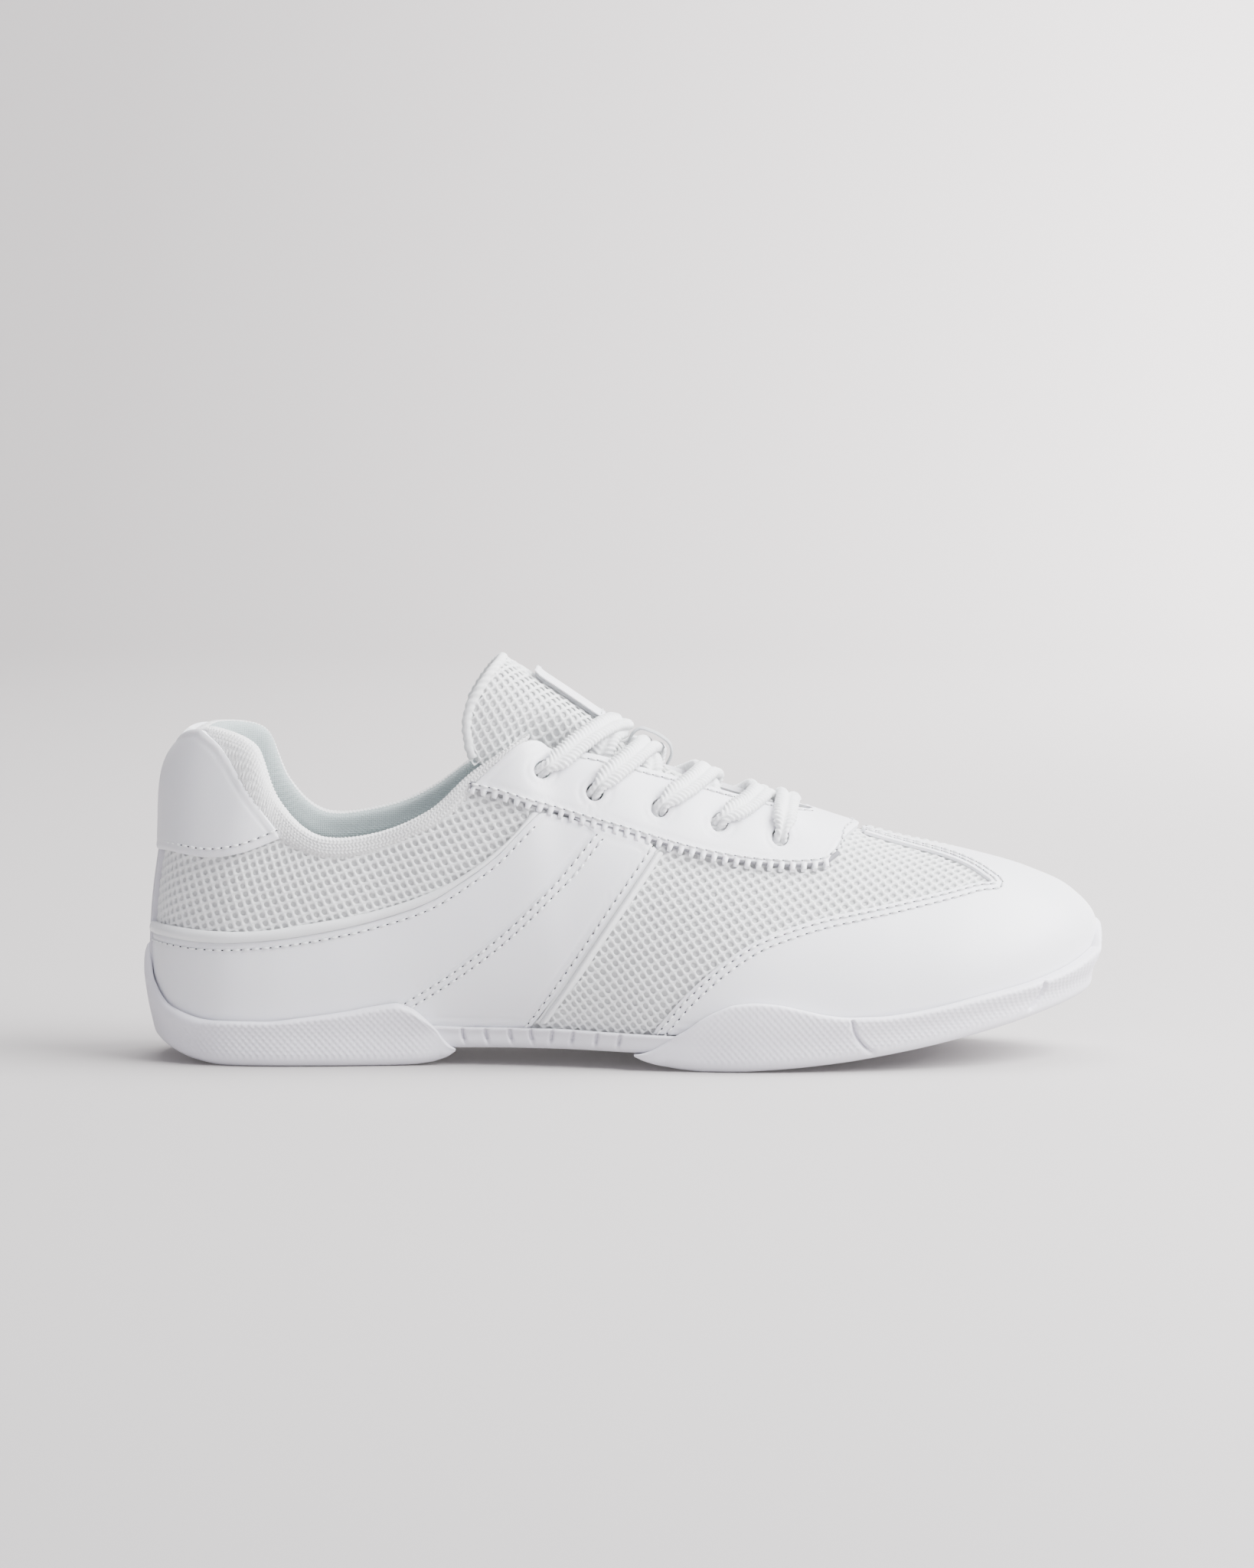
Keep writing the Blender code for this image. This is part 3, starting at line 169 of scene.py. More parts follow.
def leather():
    """Smooth coated synthetic leather: satin, with a very fine pebble grain."""
    color = (0.805, 0.805, 0.84)
    m = Nodes("white_leather", color, 0.42)
    m.tint(0.03, 60, color)
    m.vary_roughness(0.36, 0.5, 300)
    cells = m.add("ShaderNodeTexVoronoi", Scale=1900.0)
    m.link(m.place, cells, "Vector")
    m.bump(cells.outputs["Distance"], 0.10, 0.00008)
    m.bump(m.noise(4200, 3.0), 0.07, 0.00006)
    m.shader.inputs["Coat Weight"].default_value = 0.12
    m.shader.inputs["Coat Roughness"].default_value = 0.35
    m.shader.inputs["Subsurface Weight"].default_value = 0.04
    m.shader.inputs["Subsurface Scale"].default_value = 0.002
    return m.mat


def cloth_look(name, color, dark, thread, sheen=0.25, strength=0.5):
    """A woven or knitted cloth: crossing threads at a fine pitch, and a soft sheen."""
    m = Nodes(name, color, 0.9)
    m.tint(dark, 90, color)
    across = m.waves(thread, "X", 1.2)
    along = m.waves(thread, "Z", 1.2)
    m.bump(m.product(across, along), strength, 0.00018)
    m.bump(m.noise(5200, 4.0, 0.6), 0.35, 0.00012)
    m.shader.inputs["Sheen Weight"].default_value = sheen
    m.shader.inputs["Sheen Roughness"].default_value = 0.5
    m.shader.inputs["Specular IOR Level"].default_value = 0.25
    return m.mat


def yarn(name, color):
    """Bulky polyester yarn: matte, fuzzy and bright."""
    m = Nodes(name, color, 0.85)
    m.tint(0.04, 500, color)
    m.bump(m.noise(3800, 5.0, 0.65), 0.6, 0.00025)
    m.shader.inputs["Sheen Weight"].default_value = 0.35
    m.shader.inputs["Sheen Roughness"].default_value = 0.45
    m.shader.inputs["Specular IOR Level"].default_value = 0.2
    return m.mat


def rubber(name, color, rough):
    """Moulded rubber: matte, with a fine sparked texture."""
    m = Nodes(name, color, rough)
    m.tint(0.035, 45, color)
    m.vary_roughness(rough - 0.06, rough + 0.08, 500)
    m.bump(m.noise(2600, 4.0), 0.22, 0.00012)
    m.shader.inputs["Specular IOR Level"].default_value = 0.4
    return m.mat


def plastic(name, color, rough):
    m = Nodes(name, color, rough)
    m.tint(0.03, 70, color)
    m.vary_roughness(rough - 0.05, rough + 0.07, 350)
    m.bump(m.noise(1800, 3.0), 0.08, 0.00008)
    return m.mat


def hidden_board():
    color = (0.60, 0.57, 0.50)
    m = Nodes("stiffener_board", color, 0.8)
    m.tint(0.12, 400, color)
    m.bump(m.noise(1500, 5.0), 0.4, 0.0002)
    return m.mat


LEATHER = leather()
AIR_MESH = cloth_look("white_mesh", (0.80, 0.81, 0.81), 0.03, 2600, 0.3, 0.3)
BACKING = cloth_look("mesh_backing", (0.72, 0.73, 0.73), 0.06, 1500, 0.2, 0.8)
LINING_KNIT = cloth_look("lining_knit", (0.43, 0.50, 0.505), 0.06, 900, 0.3, 0.9)
COLLAR_KNIT = yarn("collar_knit", (0.80, 0.80, 0.80))
LACE_YARN = yarn("lace_yarn", (0.88, 0.89, 0.90))
THREAD = yarn("stitch_thread", (0.82, 0.83, 0.84))
# Grey webbing of the lace keeper; under the label plate the same grey is painted shade.
WEBBING_AND_LABEL_SHADE = cloth_look("grey_webbing", (0.56, 0.58, 0.60), 0.08, 1800, 0.3, 0.7)
RUBBER = rubber("white_rubber", (0.765, 0.755, 0.81), 0.55)
BRIDGE_RUBBER = rubber("bridge_rubber", (0.72, 0.71, 0.76), 0.5)
TRIM_PLASTIC = plastic("white_plastic", (0.79, 0.80, 0.81), 0.34)
BACKSTAY_GREY = plastic("backstay_grey", (0.60, 0.59, 0.64), 0.5)
CLEAR_TIP = plastic("clear_tip", (0.8, 0.8, 0.82), 0.15)
# Dark grey strip under the pinked edge: painted shade in the notches between the teeth.
NOTCH_SHADE = cloth_look("notch_painted_shade", (0.30, 0.30, 0.33), 0.08, 1800, 0.1, 0.7)
# Near-black pits at the needle holes: painted shade inside the holes.
SHADOW = plastic("needle_hole", (0.07, 0.07, 0.08), 0.9)
BOARD = hidden_board()
FOAM = rubber("white_foam", (0.74, 0.74, 0.75), 0.8)

# --- stage: a seamless pale sweep and soft studio light


def make_sweep():
    """Floor that curves up into the backdrop behind the shoe, with painted light on its paper: a
    side-to-side fade and a faint glow.
    """
    bend = [(1.6 + 1.2 * math.sin(a), 1.2 - 1.2 * math.cos(a))
            for a in np.linspace(0, math.pi / 2, 24)]
    profile = [(-4.0, 0.0)] + bend + [(2.8, 5.0)]
    verts = [(x, y, z) for x in (-5.0, 5.0) for y, z in profile]
    n = len(profile)
    faces = [(i, i + 1, n + i + 1, n + i) for i in range(n - 1)]
    mesh = bpy.data.meshes.new("sweep")
    mesh.from_pydata(verts, [], faces)
    mesh.polygons.foreach_set("use_smooth", [True] * len(faces))
    ob = bpy.data.objects.new("sweep", mesh)
    bpy.context.scene.collection.objects.link(ob)
    color = (0.442, 0.425, 0.423)
    m = Nodes("backdrop_paper", color, 0.9)
    # The paper is darker towards the left and lighter towards the right: painted light falloff.
    m.painted_light_fade_along_x(-0.3, 0.3, [c * 0.80 for c in color], [min(1, c * 1.14) for c in color])
    m.shader.inputs["Specular IOR Level"].default_value = 0.1
    # The paper glows faintly with its own colour: painted light that lightens the shadows on it.
    m.tree.links.new(m.shader.inputs["Base Color"].links[0].from_socket,
                     m.shader.inputs["Emission Color"])
    m.shader.inputs["Emission Strength"].default_value = 0.15
    mesh.materials.append(m.mat)


def area_light(name, place, target, size, watts, color=(1, 1, 1)):
    data = bpy.data.lights.new(name, "AREA")
    data.shape = "RECTANGLE"
    data.size, data.size_y = size
    data.energy = watts
    data.color = color
    ob = bpy.data.objects.new(name, data)
    ob.location = place
    aim = Vector(place) - Vector(target)
    ob.rotation_euler = aim.to_track_quat("Z", "Y").to_euler()
    bpy.context.scene.collection.objects.link(ob)


def make_lights():
    middle = (0.0, 0.0, 0.05)
    area_light("key", (1.0, -0.3, 0.95), middle, (1.3, 1.1), 98)
    area_light("top", (0.15, 0.5, 1.5), middle, (1.4, 1.1), 42)
    area_light("fill", (0.1, -1.9, 0.25), middle, (1.6, 0.4), 9, (0.92, 0.92, 1))
    area_light("background", (1.4, 1.25, 0.45), (0.5, 2.3, 0.2), (0.5, 0.5), 235, (1, 0.98, 0.98))
    world = bpy.data.worlds.new("studio")
    world.use_nodes = True
    world.node_tree.nodes["Background"].inputs["Color"].default_value = (0.92, 0.91, 1.0, 1)
    world.node_tree.nodes["Background"].inputs["Strength"].default_value = 0.56
    bpy.context.scene.world = world


make_sweep()
make_lights()

# --- the last, as in the CAD model

# The last: stations from the back of the heel to the tip of the toe. Each is a
# profile of four control points from the feather line up to the topline or the ridge.
STATIONS = (
    ((-128, 0, 9.0), (-133.3, 0, 34), (-126.8, 0, 66), (-120, 0, 89)),
    ((-123.5, 15.5, 9), (-128.5, 18.5, 34), (-122, 17.5, 66), (-114, 12.5, 91.5)),
    ((-112, 24.5, 9), (-114, 29, 34), (-110, 26, 64), (-101.5, 21, 87)),
    ((-98, 27.5, 9), (-99, 32.5, 32), (-99, 29, 56), (-94.3, 24.5, 72)),
    ((-82, 27.5, 9), (-82, 33, 30), (-84, 31, 50), (-84, 27.5, 63)),
    ((-64, 26, 9), (-64, 33, 30), (-67, 31, 50), (-68, 28, 63.8)),
    ((-46, 25, 9), (-47, 34, 28), (-52, 33, 53), (-53.5, 28.3, 70)),
    ((-31, 26.5, 9), (-34, 36.5, 28), (-40, 34, 60), (-41.5, 26.5, 80.5)),
    ((-18, 29.5, 8.8), (-21, 39, 28), (-28, 34, 70), (-28, 23.5, 89.5)),
    ((-6, 33, 8.6), (-9, 42, 30), (-17, 31, 95.5), (-16, 0, 95.5)),
    ((10, 37.5, 8.4), (8, 45, 29), (7, 28.5, 85.2), (7, 0, 85.2)),
    ((30, 41, 8.2), (30, 48, 26), (30, 26, 75), (30, 0, 75)),
    ((50, 41.5, 9), (51, 48, 24), (51.5, 25, 66.8), (51.5, 0, 66.8)),
    ((74, 39.5, 11.8), (76, 46, 25), (75, 25.5, 59.6), (75, 0, 59.6)),
    ((92.5, 35, 15), (96, 42, 27), (95, 24, 55.3), (95, 0, 55.3)),
    ((108.5, 27, 18.5), (113.5, 33.5, 30), (112, 20, 50.1), (112, 0, 50.1)),
    ((119, 17, 21), (124.5, 22, 31), (123, 13, 44.5), (123, 0, 44.5)),
    ((124.6, 9, 23), (129, 11.5, 30), (129, 7, 37.5), (129, 0, 37.5)),
    ((127.5, 0, 25), (127.6, 0, 25.1), (127.7, 0, 25.3), (127.8, 0, 25.5)),
)
# The foot is not symmetric: the inner side is waisted, and the toe swings inwards.
MEDIAL_WIDTH = ((-135, 1), (-70, 0.98), (-25, 0.86), (25, 0.94), (60, 1.0), (135, 1.0))
TOE_SWING = ((-140, 0), (30, 0), (95, 2.2), (135, 6))
# Height of the tread's underside along the shoe: heel bevel, flat, toe spring.
GROUND = ((-134, 14), (-130, 8.9), (-126, 4.6), (-117, 1.0), (-109, 0), (28, 0), (40, 0.6),
          (50, 1.5), (60, 2.7), (70, 4.3), (81, 6.3), (90, 8.2), (100, 10.5), (111, 13.4),
          (123, 16.8), (129, 19.6), (134, 23))
COLLAR_END = 0.397
FOOT = 0.03
SPAN = 330.0
GIRTH = 90.0


def unit(vectors):
    return vectors / np.maximum(np.linalg.norm(vectors, axis=-1, keepdims=True), 1e-9)


def run_along(points):
    """Distance along a line of points, from its start to each of them."""
    return np.r_[0, np.cumsum(np.linalg.norm(np.diff(points, axis=0), axis=1))]


def read_along(at, run, points):
    """Points at some distances along a line."""
    return np.stack([np.interp(at, run, column) for column in points.T], axis=-1)


def smooth_step(x, low, high):
    u = np.clip((x - low) / (high - low), 0, 1)
    return u * u * (3 - 2 * u)


def cubic(u, step, values, slope, i):
    """Value between knots i and i + 1, from the values and slopes at both."""
    start = (1 + 2 * u) * (1 - u) ** 2 * values[i] + u * (1 - u) ** 2 * step * slope[i]
    return start + u * u * (3 - 2 * u) * values[i + 1] + u * u * (u - 1) * step * slope[i + 1]


def smooth_curve(knots, values, at):
    """A curve with continuous slope through the rows of values."""
    knots = np.asarray(knots, float)
    values = np.asarray(values, float)
    slope = np.gradient(values, knots, axis=0)
    i = np.clip(np.searchsorted(knots, at, side="right") - 1, 0, len(knots) - 2)
    step = (knots[i + 1] - knots[i])[:, None]
    u = (np.asarray(at) - knots[i])[:, None] / step
    return cubic(u, step, values, slope, i)


def graph(table, x):
    """Height of a smooth graph through (x, value) pairs that never overshoots them."""
    xs, ys = (np.array(column, float) for column in zip(*table))
    x = np.clip(np.atleast_1d(np.asarray(x, float)), xs[0], xs[-1])
    rise = np.diff(ys) / np.diff(xs)
    level = rise[:-1] * rise[1:] <= 0
    mean = 2 * rise[:-1] * rise[1:] / np.where(level, 1, rise[:-1] + rise[1:])
    slope = np.r_[rise[0], np.where(level, 0, mean), rise[-1]]
    i = np.clip(np.searchsorted(xs, x, side="right") - 1, 0, len(xs) - 2)
    step = xs[i + 1] - xs[i]
    u = (x - xs[i]) / step
    return cubic(u, step, ys, slope, i)


def mirrored_stations():
    """Knots and control points from the lateral toe round the heel to the medial toe."""
    rows = np.array(STATIONS, float)
    apart = np.linalg.norm(np.diff(rows, axis=0), axis=2)
    run = np.r_[0, np.cumsum((apart.mean(axis=1) + apart.max(axis=1)) / 2)]
    knots = run / run[-1]
    lateral = rows.copy()
    lateral[:, :, 1] *= -1
    both = np.concatenate([lateral[::-1], rows[1:]])
    return np.r_[-knots[::-1], knots[1:]], both.reshape(len(both), 12)


KNOTS, CONTROLS = mirrored_stations()


def last_point(s, t):
    """Points of the last: s runs round the shoe, t from the feather line upwards."""
    s = np.atleast_1d(np.asarray(s, float))
    t = np.atleast_1d(np.asarray(t, float))[:, None]
    c = smooth_curve(KNOTS, CONTROLS, s).reshape(-1, 4, 3)
    p = (1 - t) ** 3 * c[:, 0] + 3 * t * (1 - t) ** 2 * c[:, 1]
    p = p + 3 * t * t * (1 - t) * c[:, 2] + t ** 3 * c[:, 3]
    p[:, 1] *= np.where(p[:, 1] > 0, graph(MEDIAL_WIDTH, p[:, 0]), 1.0)
    p[:, 1] += graph(TOE_SWING, p[:, 0])
    return p


def last_normal(s, t):
    """Outward unit normals of the last."""
    s = np.atleast_1d(np.asarray(s, float))
    t = np.atleast_1d(np.asarray(t, float))
    e = 0.004
    s0, s1 = np.clip(s - e, -1, 1), np.clip(s + e, -1, 1)
    t0, t1 = np.clip(t - e, 0, 1), np.clip(t + e, 0, 1)
    along = last_point(s1, t) - last_point(s0, t)
    up = last_point(s, t1) - last_point(s, t0)
    return unit(np.cross(up, along))


class Locator:
    """Finds (s, t) of lateral points seen along one axis, from the side or from above."""

    def __init__(self, *axes):
        self.axes = list(axes)
        s, t = np.meshgrid(np.linspace(0.0, 0.999, 260), np.linspace(0, 1, 70))
        self.s, self.t = -s.ravel(), t.ravel()
        flat = last_point(self.s, self.t)[:, self.axes]
        self.tree = KDTree(len(flat))
        for i, q in enumerate(flat):
            self.tree.insert((q[0], q[1], 0), i)
        self.tree.balance()

    def find(self, wanted):
        wanted = np.asarray(wanted, float)
        near = [self.tree.find((q[0], q[1], 0))[1] for q in wanted]
        s, t = self.s[near].copy(), self.t[near].copy()
        e = 1e-4
        for _ in range(6):
            here = last_point(s, t)[:, self.axes]
            ds = (last_point(s + e, t)[:, self.axes] - here) / e
            dt = (last_point(s, t + e)[:, self.axes] - here) / e
            miss = wanted - here
            det = ds[:, 0] * dt[:, 1] - ds[:, 1] * dt[:, 0]
            det = np.where(abs(det) < 1.0, np.sign(det) + (det == 0), det)
            s += np.clip((miss[:, 0] * dt[:, 1] - miss[:, 1] * dt[:, 0]) / det, -.02, .02)
            t += np.clip((miss[:, 1] * ds[:, 0] - miss[:, 0] * ds[:, 1]) / det, -.04, .04)
            s, t = np.clip(s, -0.999, 0.999), np.clip(t, 0, 1)
        return s, t


SIDE_VIEW = Locator(0, 2)
TOP_VIEW = Locator(0, 1)


def resample(points, spacing, closed=False):
    """Points at about equal spacing along a smooth curve through the given ones."""
    points = np.asarray(points, float)
    if closed:
        points = np.vstack([points, points[:1]])
    chord = run_along(points)
    count = max(2, int(round(chord[-1] / spacing)) + 1)
    return smooth_curve(chord, points, np.linspace(0, chord[-1], count))


# --- flat patterns: round = (s, t) round the heel, over = (|s|, signed girth) over the ridge


def round_map(flat):
    s, t = flat[:, 0] / SPAN, np.clip(flat[:, 1] / GIRTH, 0, 1)
    return s, t


def over_map(flat):
    girth = np.clip(flat[:, 1] / GIRTH, -1, 1)
    side = np.where(girth < 0, -1.0, 1.0)
    return side * flat[:, 0] / SPAN, 1 - abs(girth)


def seen_from_side(points, over=False):
    s, t = SIDE_VIEW.find(points)
    if over:
        return np.c_[abs(s) * SPAN, -(1 - t) * GIRTH]
    return np.c_[s * SPAN, t * GIRTH]


def seen_from_above(points):
    s, t = TOP_VIEW.find(points)
    return np.c_[abs(s) * SPAN, -(1 - t) * GIRTH]


def fill_pattern(loops, cell):
    """Triangles that fill a flat outline, with holes, on a lattice of about one cell."""
    points, edges = [], []
    for loop in loops:
        first = len(points)
        points += [tuple(p) for p in loop]
        n = len(loop)
        edges += [(first + i, first + (i + 1) % n) for i in range(n)]
    rim = np.array(points)
    low, high = rim.min(0), rim.max(0)
    rows = int((high[1] - low[1]) / (cell * 0.87)) + 1
    for r in range(rows + 1):
        v = low[1] + r * cell * 0.87
        for u in np.arange(low[0] + (r % 2) * cell / 2, high[0], cell):
            if np.min(np.hypot(rim[:, 0] - u, rim[:, 1] - v)) > cell * 0.55:
                points.append((u, v))
    flat = [Vector(p) for p in points]
    verts, _, faces, *_ = delaunay_2d_cdt(flat, edges, [], 1, 1e-4)
    verts = np.array([tuple(v) for v in verts])
    kept = [list(f) for f in faces
            if not any(surrounds(hole, verts[f].mean(axis=0)) for hole in loops[1:])]
    return verts, kept


def surrounds(loop, point):
    """Whether a flat point lies inside a small loop."""
    x, y = loop[:, 0] - point[0], loop[:, 1] - point[1]
    nx, ny = np.roll(x, -1), np.roll(y, -1)
    crosses = (y > 0) != (ny > 0)
    at = x + (nx - x) * y / np.where(crosses, y - ny, 1)
    return bool(np.sum(crosses & (at > 0)) % 2)


# --- outlines, as seen from the side (x, z) or from above (x, y) on the lateral half

BASE_SEAM = ((-63, 11), (-50, 28), (-36, 45), (-24, 62), (-17, 74))
COLLAR_SEAM = ((-112, 71), (-101, 66.5), (-93.8, 62.5), (-86, 59), (-77.5, 58), (-70, 59),
               (-58.5, 63.8), (-47.1, 70.2), (-37, 80), (-29.7, 87.2))
THROAT = ((-20, -20.5), (0, -17), (20, -13.2), (36, -9.8), (45, -6.8), (50, -3.4))
THROAT_FRONT = 51.5
EYESTAY_EDGE = ((-42.4, 75.4), (-35.2, 74.0), (-26.8, 71.3), (-14.1, 67.5), (-3.5, 64.4),
                (7.1, 61.1), (17.7, 58), (28.2, 55.7), (38.8, 54.2), (49.4, 53.7),
                (55.5, 54.4), (59, 56.5))
EYESTAY_NOSE = ((61.8, -8.5), (63.6, -4))
EYESTAY_FRONT = 64.2
EYELETS = ((-22.9, 80.7), (-8.4, 74.5), (9.2, 69.8), (25.5, 65.6), (42.2, 61.4))
OVERLAY_TOP = ((-130, 35.4), (-126, 34.3), (-116, 33.6), (-98.7, 34.4), (-80.3, 37.3),
               (-68, 40.2), (-52, 46), (-43.5, 51.4), (-35.4, 57.4), (-28.9, 64),
               (-23.8, 69.2))
TRIM_TOP = ((-129.6, 39.3), (-125, 37.6), (-110, 36.9), (-98.7, 37.4), (-88.3, 39),
            (-67.4, 43.1), (-57, 46.4), (-47, 51), (-37.5, 57.4), (-30.4, 63.7),
            (-25.6, 69.6))
STRIPE_REAR = ((-70, 13), (-60.2, 18.9), (-48.8, 26.1), (-35.4, 36.2), (-21.7, 49.1),
               (-8.7, 64.0))
STRIPE_FRONT = ((-26.5, 10), (-20.2, 18.4), (-13.6, 27.8), (-0.7, 46.6), (8.4, 59.4))
TRIM_BACK = ((-23.8, 13.0), (-15.9, 24.5), (-10.0, 33.0), (-4.4, 41.3), (1.3, 49.6), (7.3, 58.2))
TRIM_FRONT = ((-20.6, 13.0), (-18.2, 16.7), (-12.5, 24.5), (-6.9, 33.0), (-1.3, 41.3),
              (4.4, 49.6), (10.3, 58.2))
WING_EDGE = ((7.7, 10.8), (17.4, 21.8), (28.7, 31.1), (35.2, 35), (44.3, 38.3), (53.2, 40.7),
             (63.6, 42.6), (77.1, 45), (88.3, 47.1), (95.7, 48.6), (101, 49.6))
WING_TIP = ((103, -19.5), (101.5, -16.6), (97.5, -12.6), (90, -8.6), (80, -6.2), (66, -5.2))
HEEL_TAB_LOWER = ((-123, 57.6), (-112.8, 56.8), (-105.6, 58), (-94.2, 62.2))
HEEL_TAB_FRONT = ((-95.2, 64.6), (-99.7, 70.3), (-103.5, 75.9), (-107.2, 82.2),
                  (-110.2, 86.4), (-114, 89.6))


def mirrored(flat):
    return flat * np.array([1.0, -1.0])


def ridge_mark(x):
    return seen_from_above([(x, graph(TOE_SWING, x)[0])])[0] * np.array([1.0, 0.0])


def over_side(points, spacing=CELL):
    return seen_from_side(resample(points, spacing), over=True)


def over_top(points, spacing=CELL):
    return seen_from_above(resample(points, spacing))


def round_side(points, spacing=CELL):
    return seen_from_side(resample(points, spacing))


def other_side(flat):
    """The same outline on the medial half of a round-the-heel pattern."""
    return flat * np.array([-1.0, 1.0])


def two_sides(flip):
    """The lateral side's name and its pattern as drawn, and the medial side's turned over."""
    return ("lateral", lambda flat: flat), ("medial", flip)


def row(s_from, s_to, t, spacing=CELL):
    count = max(2, int(abs(s_to - s_from) * SPAN / spacing) + 1)
    s = np.linspace(s_from, s_to, count)
    return np.c_[s * SPAN, np.full(count, t * GIRTH)]


def join_loop(*runs):
    """One closed loop from runs of points, without repeated neighbours."""
    points = [np.asarray(p, float) for run in runs for p in run]
    loop = [points[0]]
    for p in points[1:]:
        if np.hypot(*(p - loop[-1])) > 0.8:
            loop.append(p)
    if np.hypot(*(loop[0] - loop[-1])) < 0.8:
        loop.pop()
    fine = []
    for p, q in zip(loop, loop[1:] + loop[:1]):
        steps = max(1, int(np.hypot(*(q - p)) / (CELL * 1.3)))
        fine += [p + (q - p) * k / steps for k in range(steps)]
    return np.array(fine)


def foot_run(x_from, x_to):
    """Feather edge between two lengthwise places on the lateral side."""
    s = SIDE_VIEW.find([(x_from, 11), (x_to, 11)])[0]
    return row(s[0], s[1], FOOT)


def lowered(points, drop):
    return tuple((x, z - drop) for x, z in points)


# --- fine surfaces

TOP = 1.25
OVERLAY_TOP_HEIGHT = TOP - 0.35
STITCH_PITCH = 2.7
THREAD_RADIUS = 0.36
NEEDLE_HOLE = (0.38, 0.2)
STITCH_SHARE = np.array([0.15, 0.22, 0.5, 0.78, 0.85])
STITCH_LIFT = np.array([-0.22, 0.04, 0.14, 0.04, -0.22])
STITCH_FULLNESS = np.array([0.45, 0.9, 1.0, 0.9, 0.45])
FOLD = "fold"


def new_piece(name, points, faces, look, slot, body="shoe", sharp=None):
    """A smooth-shaded mesh piece from millimetre points, riding on a body."""
    mesh = bpy.data.meshes.new(name)
    mesh.from_pydata((np.asarray(points) * MM).tolist(), [], [list(map(int, f)) for f in faces])
    mesh.polygons.foreach_set("use_smooth", [True] * len(mesh.polygons))
    if sharp:
        mesh.set_sharp_from_angle(angle=math.radians(sharp))
    mesh.materials.append(look)
    ob = bpy.data.objects.new(name, mesh)
    bpy.context.scene.collection.objects.link(ob)
    if body == FOLD:
        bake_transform(ob)
    else:
        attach(ob, body)
    return ob


def split_faces(flat, faces):
    """Cuts every triangle into four at the middles of its edges."""
    edges = np.sort(np.concatenate([faces[:, [0, 1]], faces[:, [1, 2]], faces[:, [2, 0]]]), axis=1)
    unique, index = np.unique(edges, axis=0, return_inverse=True)
    middle = (flat[unique[:, 0]] + flat[unique[:, 1]]) / 2
    m = len(faces)
    index = index.ravel() + len(flat)
    ab, bc, ca = index[:m], index[m:2 * m], index[2 * m:]
    a, b, c = faces.T
    small = [np.c_[a, ab, ca], np.c_[ab, b, bc], np.c_[ca, bc, c], np.c_[ab, bc, ca]]
    return np.vstack([flat, middle]), np.vstack(small)


def border(faces):
    """The edges that only one triangle uses, in that triangle's direction."""
    edges = np.concatenate([faces[:, [0, 1]], faces[:, [1, 2]], faces[:, [2, 0]]])
    _, index, count = np.unique(np.sort(edges, axis=1), axis=0, return_inverse=True,
                                return_counts=True)
    return edges[count[index.ravel()] == 1]


def distance_to(points, targets):
    tree = KDTree(len(targets))
    for i, p in enumerate(targets):
        tree.insert(p, i)
    tree.balance()
    return np.array([tree.find(p)[2] for p in points])


def ripple(points, wavelength, amount):
    """Slow unevenness, the same on every run."""
    return amount * np.array([noise.noise(Vector(p) / wavelength) for p in points])


def rolled_edge(gap, top, seams):
    """Height of a cut edge: rounded over at the rim and drawn down along each seam."""
    height = np.interp(gap, (0, 0.3, 0.8), (top - 0.32, top - 0.06, top))
    for reach in seams:
        height -= 0.16 * np.exp(-((gap - reach) / 0.5) ** 2)
    return height


def fine_panel(name, loops, mapping, look, slot, top=TOP, under=0.1, seams=(), cell=3.0,
               levels=2, dents=(), unevenness=0.12):
    """A closed sheet on the last: rolled rim, seam grooves and dents round its holes."""
    flat, faces = fill_pattern(loops, cell)
    faces = np.array(faces)
    for _ in range(levels):
        flat, faces = split_faces(flat, faces)
    s, t = mapping(flat)
    base, normal = last_point(s, t), last_normal(s, t)
    rim = border(faces)
    dense = [base[rim[:, 0]] * (1 - f) + base[rim[:, 1]] * f for f in (0, 0.33, 0.67)]
    gap = distance_to(base, np.concatenate(dense))
    height = rolled_edge(gap, top, seams) + ripple(base, 22.0, unevenness) * np.clip(gap, 0, 1)
    for centre, depth, radius in dents:
        away = np.linalg.norm(base - centre, axis=1)
        height -= depth * np.exp(-(away / radius) ** 2)
    upper, lower = base + normal * height[:, None], base + normal * under
    a, b, c = faces[len(faces) // 2]
    middle = np.cross(base[b] - base[a], base[c] - base[a])
    if middle @ normal[a] < 0:
        faces, rim = faces[:, ::-1], rim[:, ::-1]
    n = len(base)
    skirt = np.c_[rim[:, 1], rim[:, 0], rim[:, 0] + n, rim[:, 1] + n]
    everything = faces.tolist() + (faces[:, ::-1] + n).tolist() + skirt.tolist()
    return new_piece(name, np.vstack([upper, lower]), everything, look, slot, sharp=50)


def place(mapping, flat, height=0.0):
    s, t = mapping(flat)
    return last_point(s, t) + last_normal(s, t) * height


def inset(run, mapping, reach, loop):
    """A run of pattern points moved a real distance into the panel it borders."""
    e = 0.4
    here = place(mapping, run)
    du = (place(mapping, run + np.array([e, 0])) - here) / e
    dv = (place(mapping, run + np.array([0, e])) - here) / e
    along = np.gradient(here, axis=0)
    side = np.cross(last_normal(*mapping(run)), along)
    goal = unit(side) * reach
    a, b, c = (du * du).sum(1), (du * dv).sum(1), (dv * dv).sum(1)
    p, q = (du * goal).sum(1), (dv * goal).sum(1)
    det = np.maximum(a * c - b * b, 1e-6)
    step = np.c_[(c * p - b * q) / det, (a * q - b * p) / det]
    k = len(run) // 2
    return run + step if surrounds(loop, run[k] + step[k]) else run - step


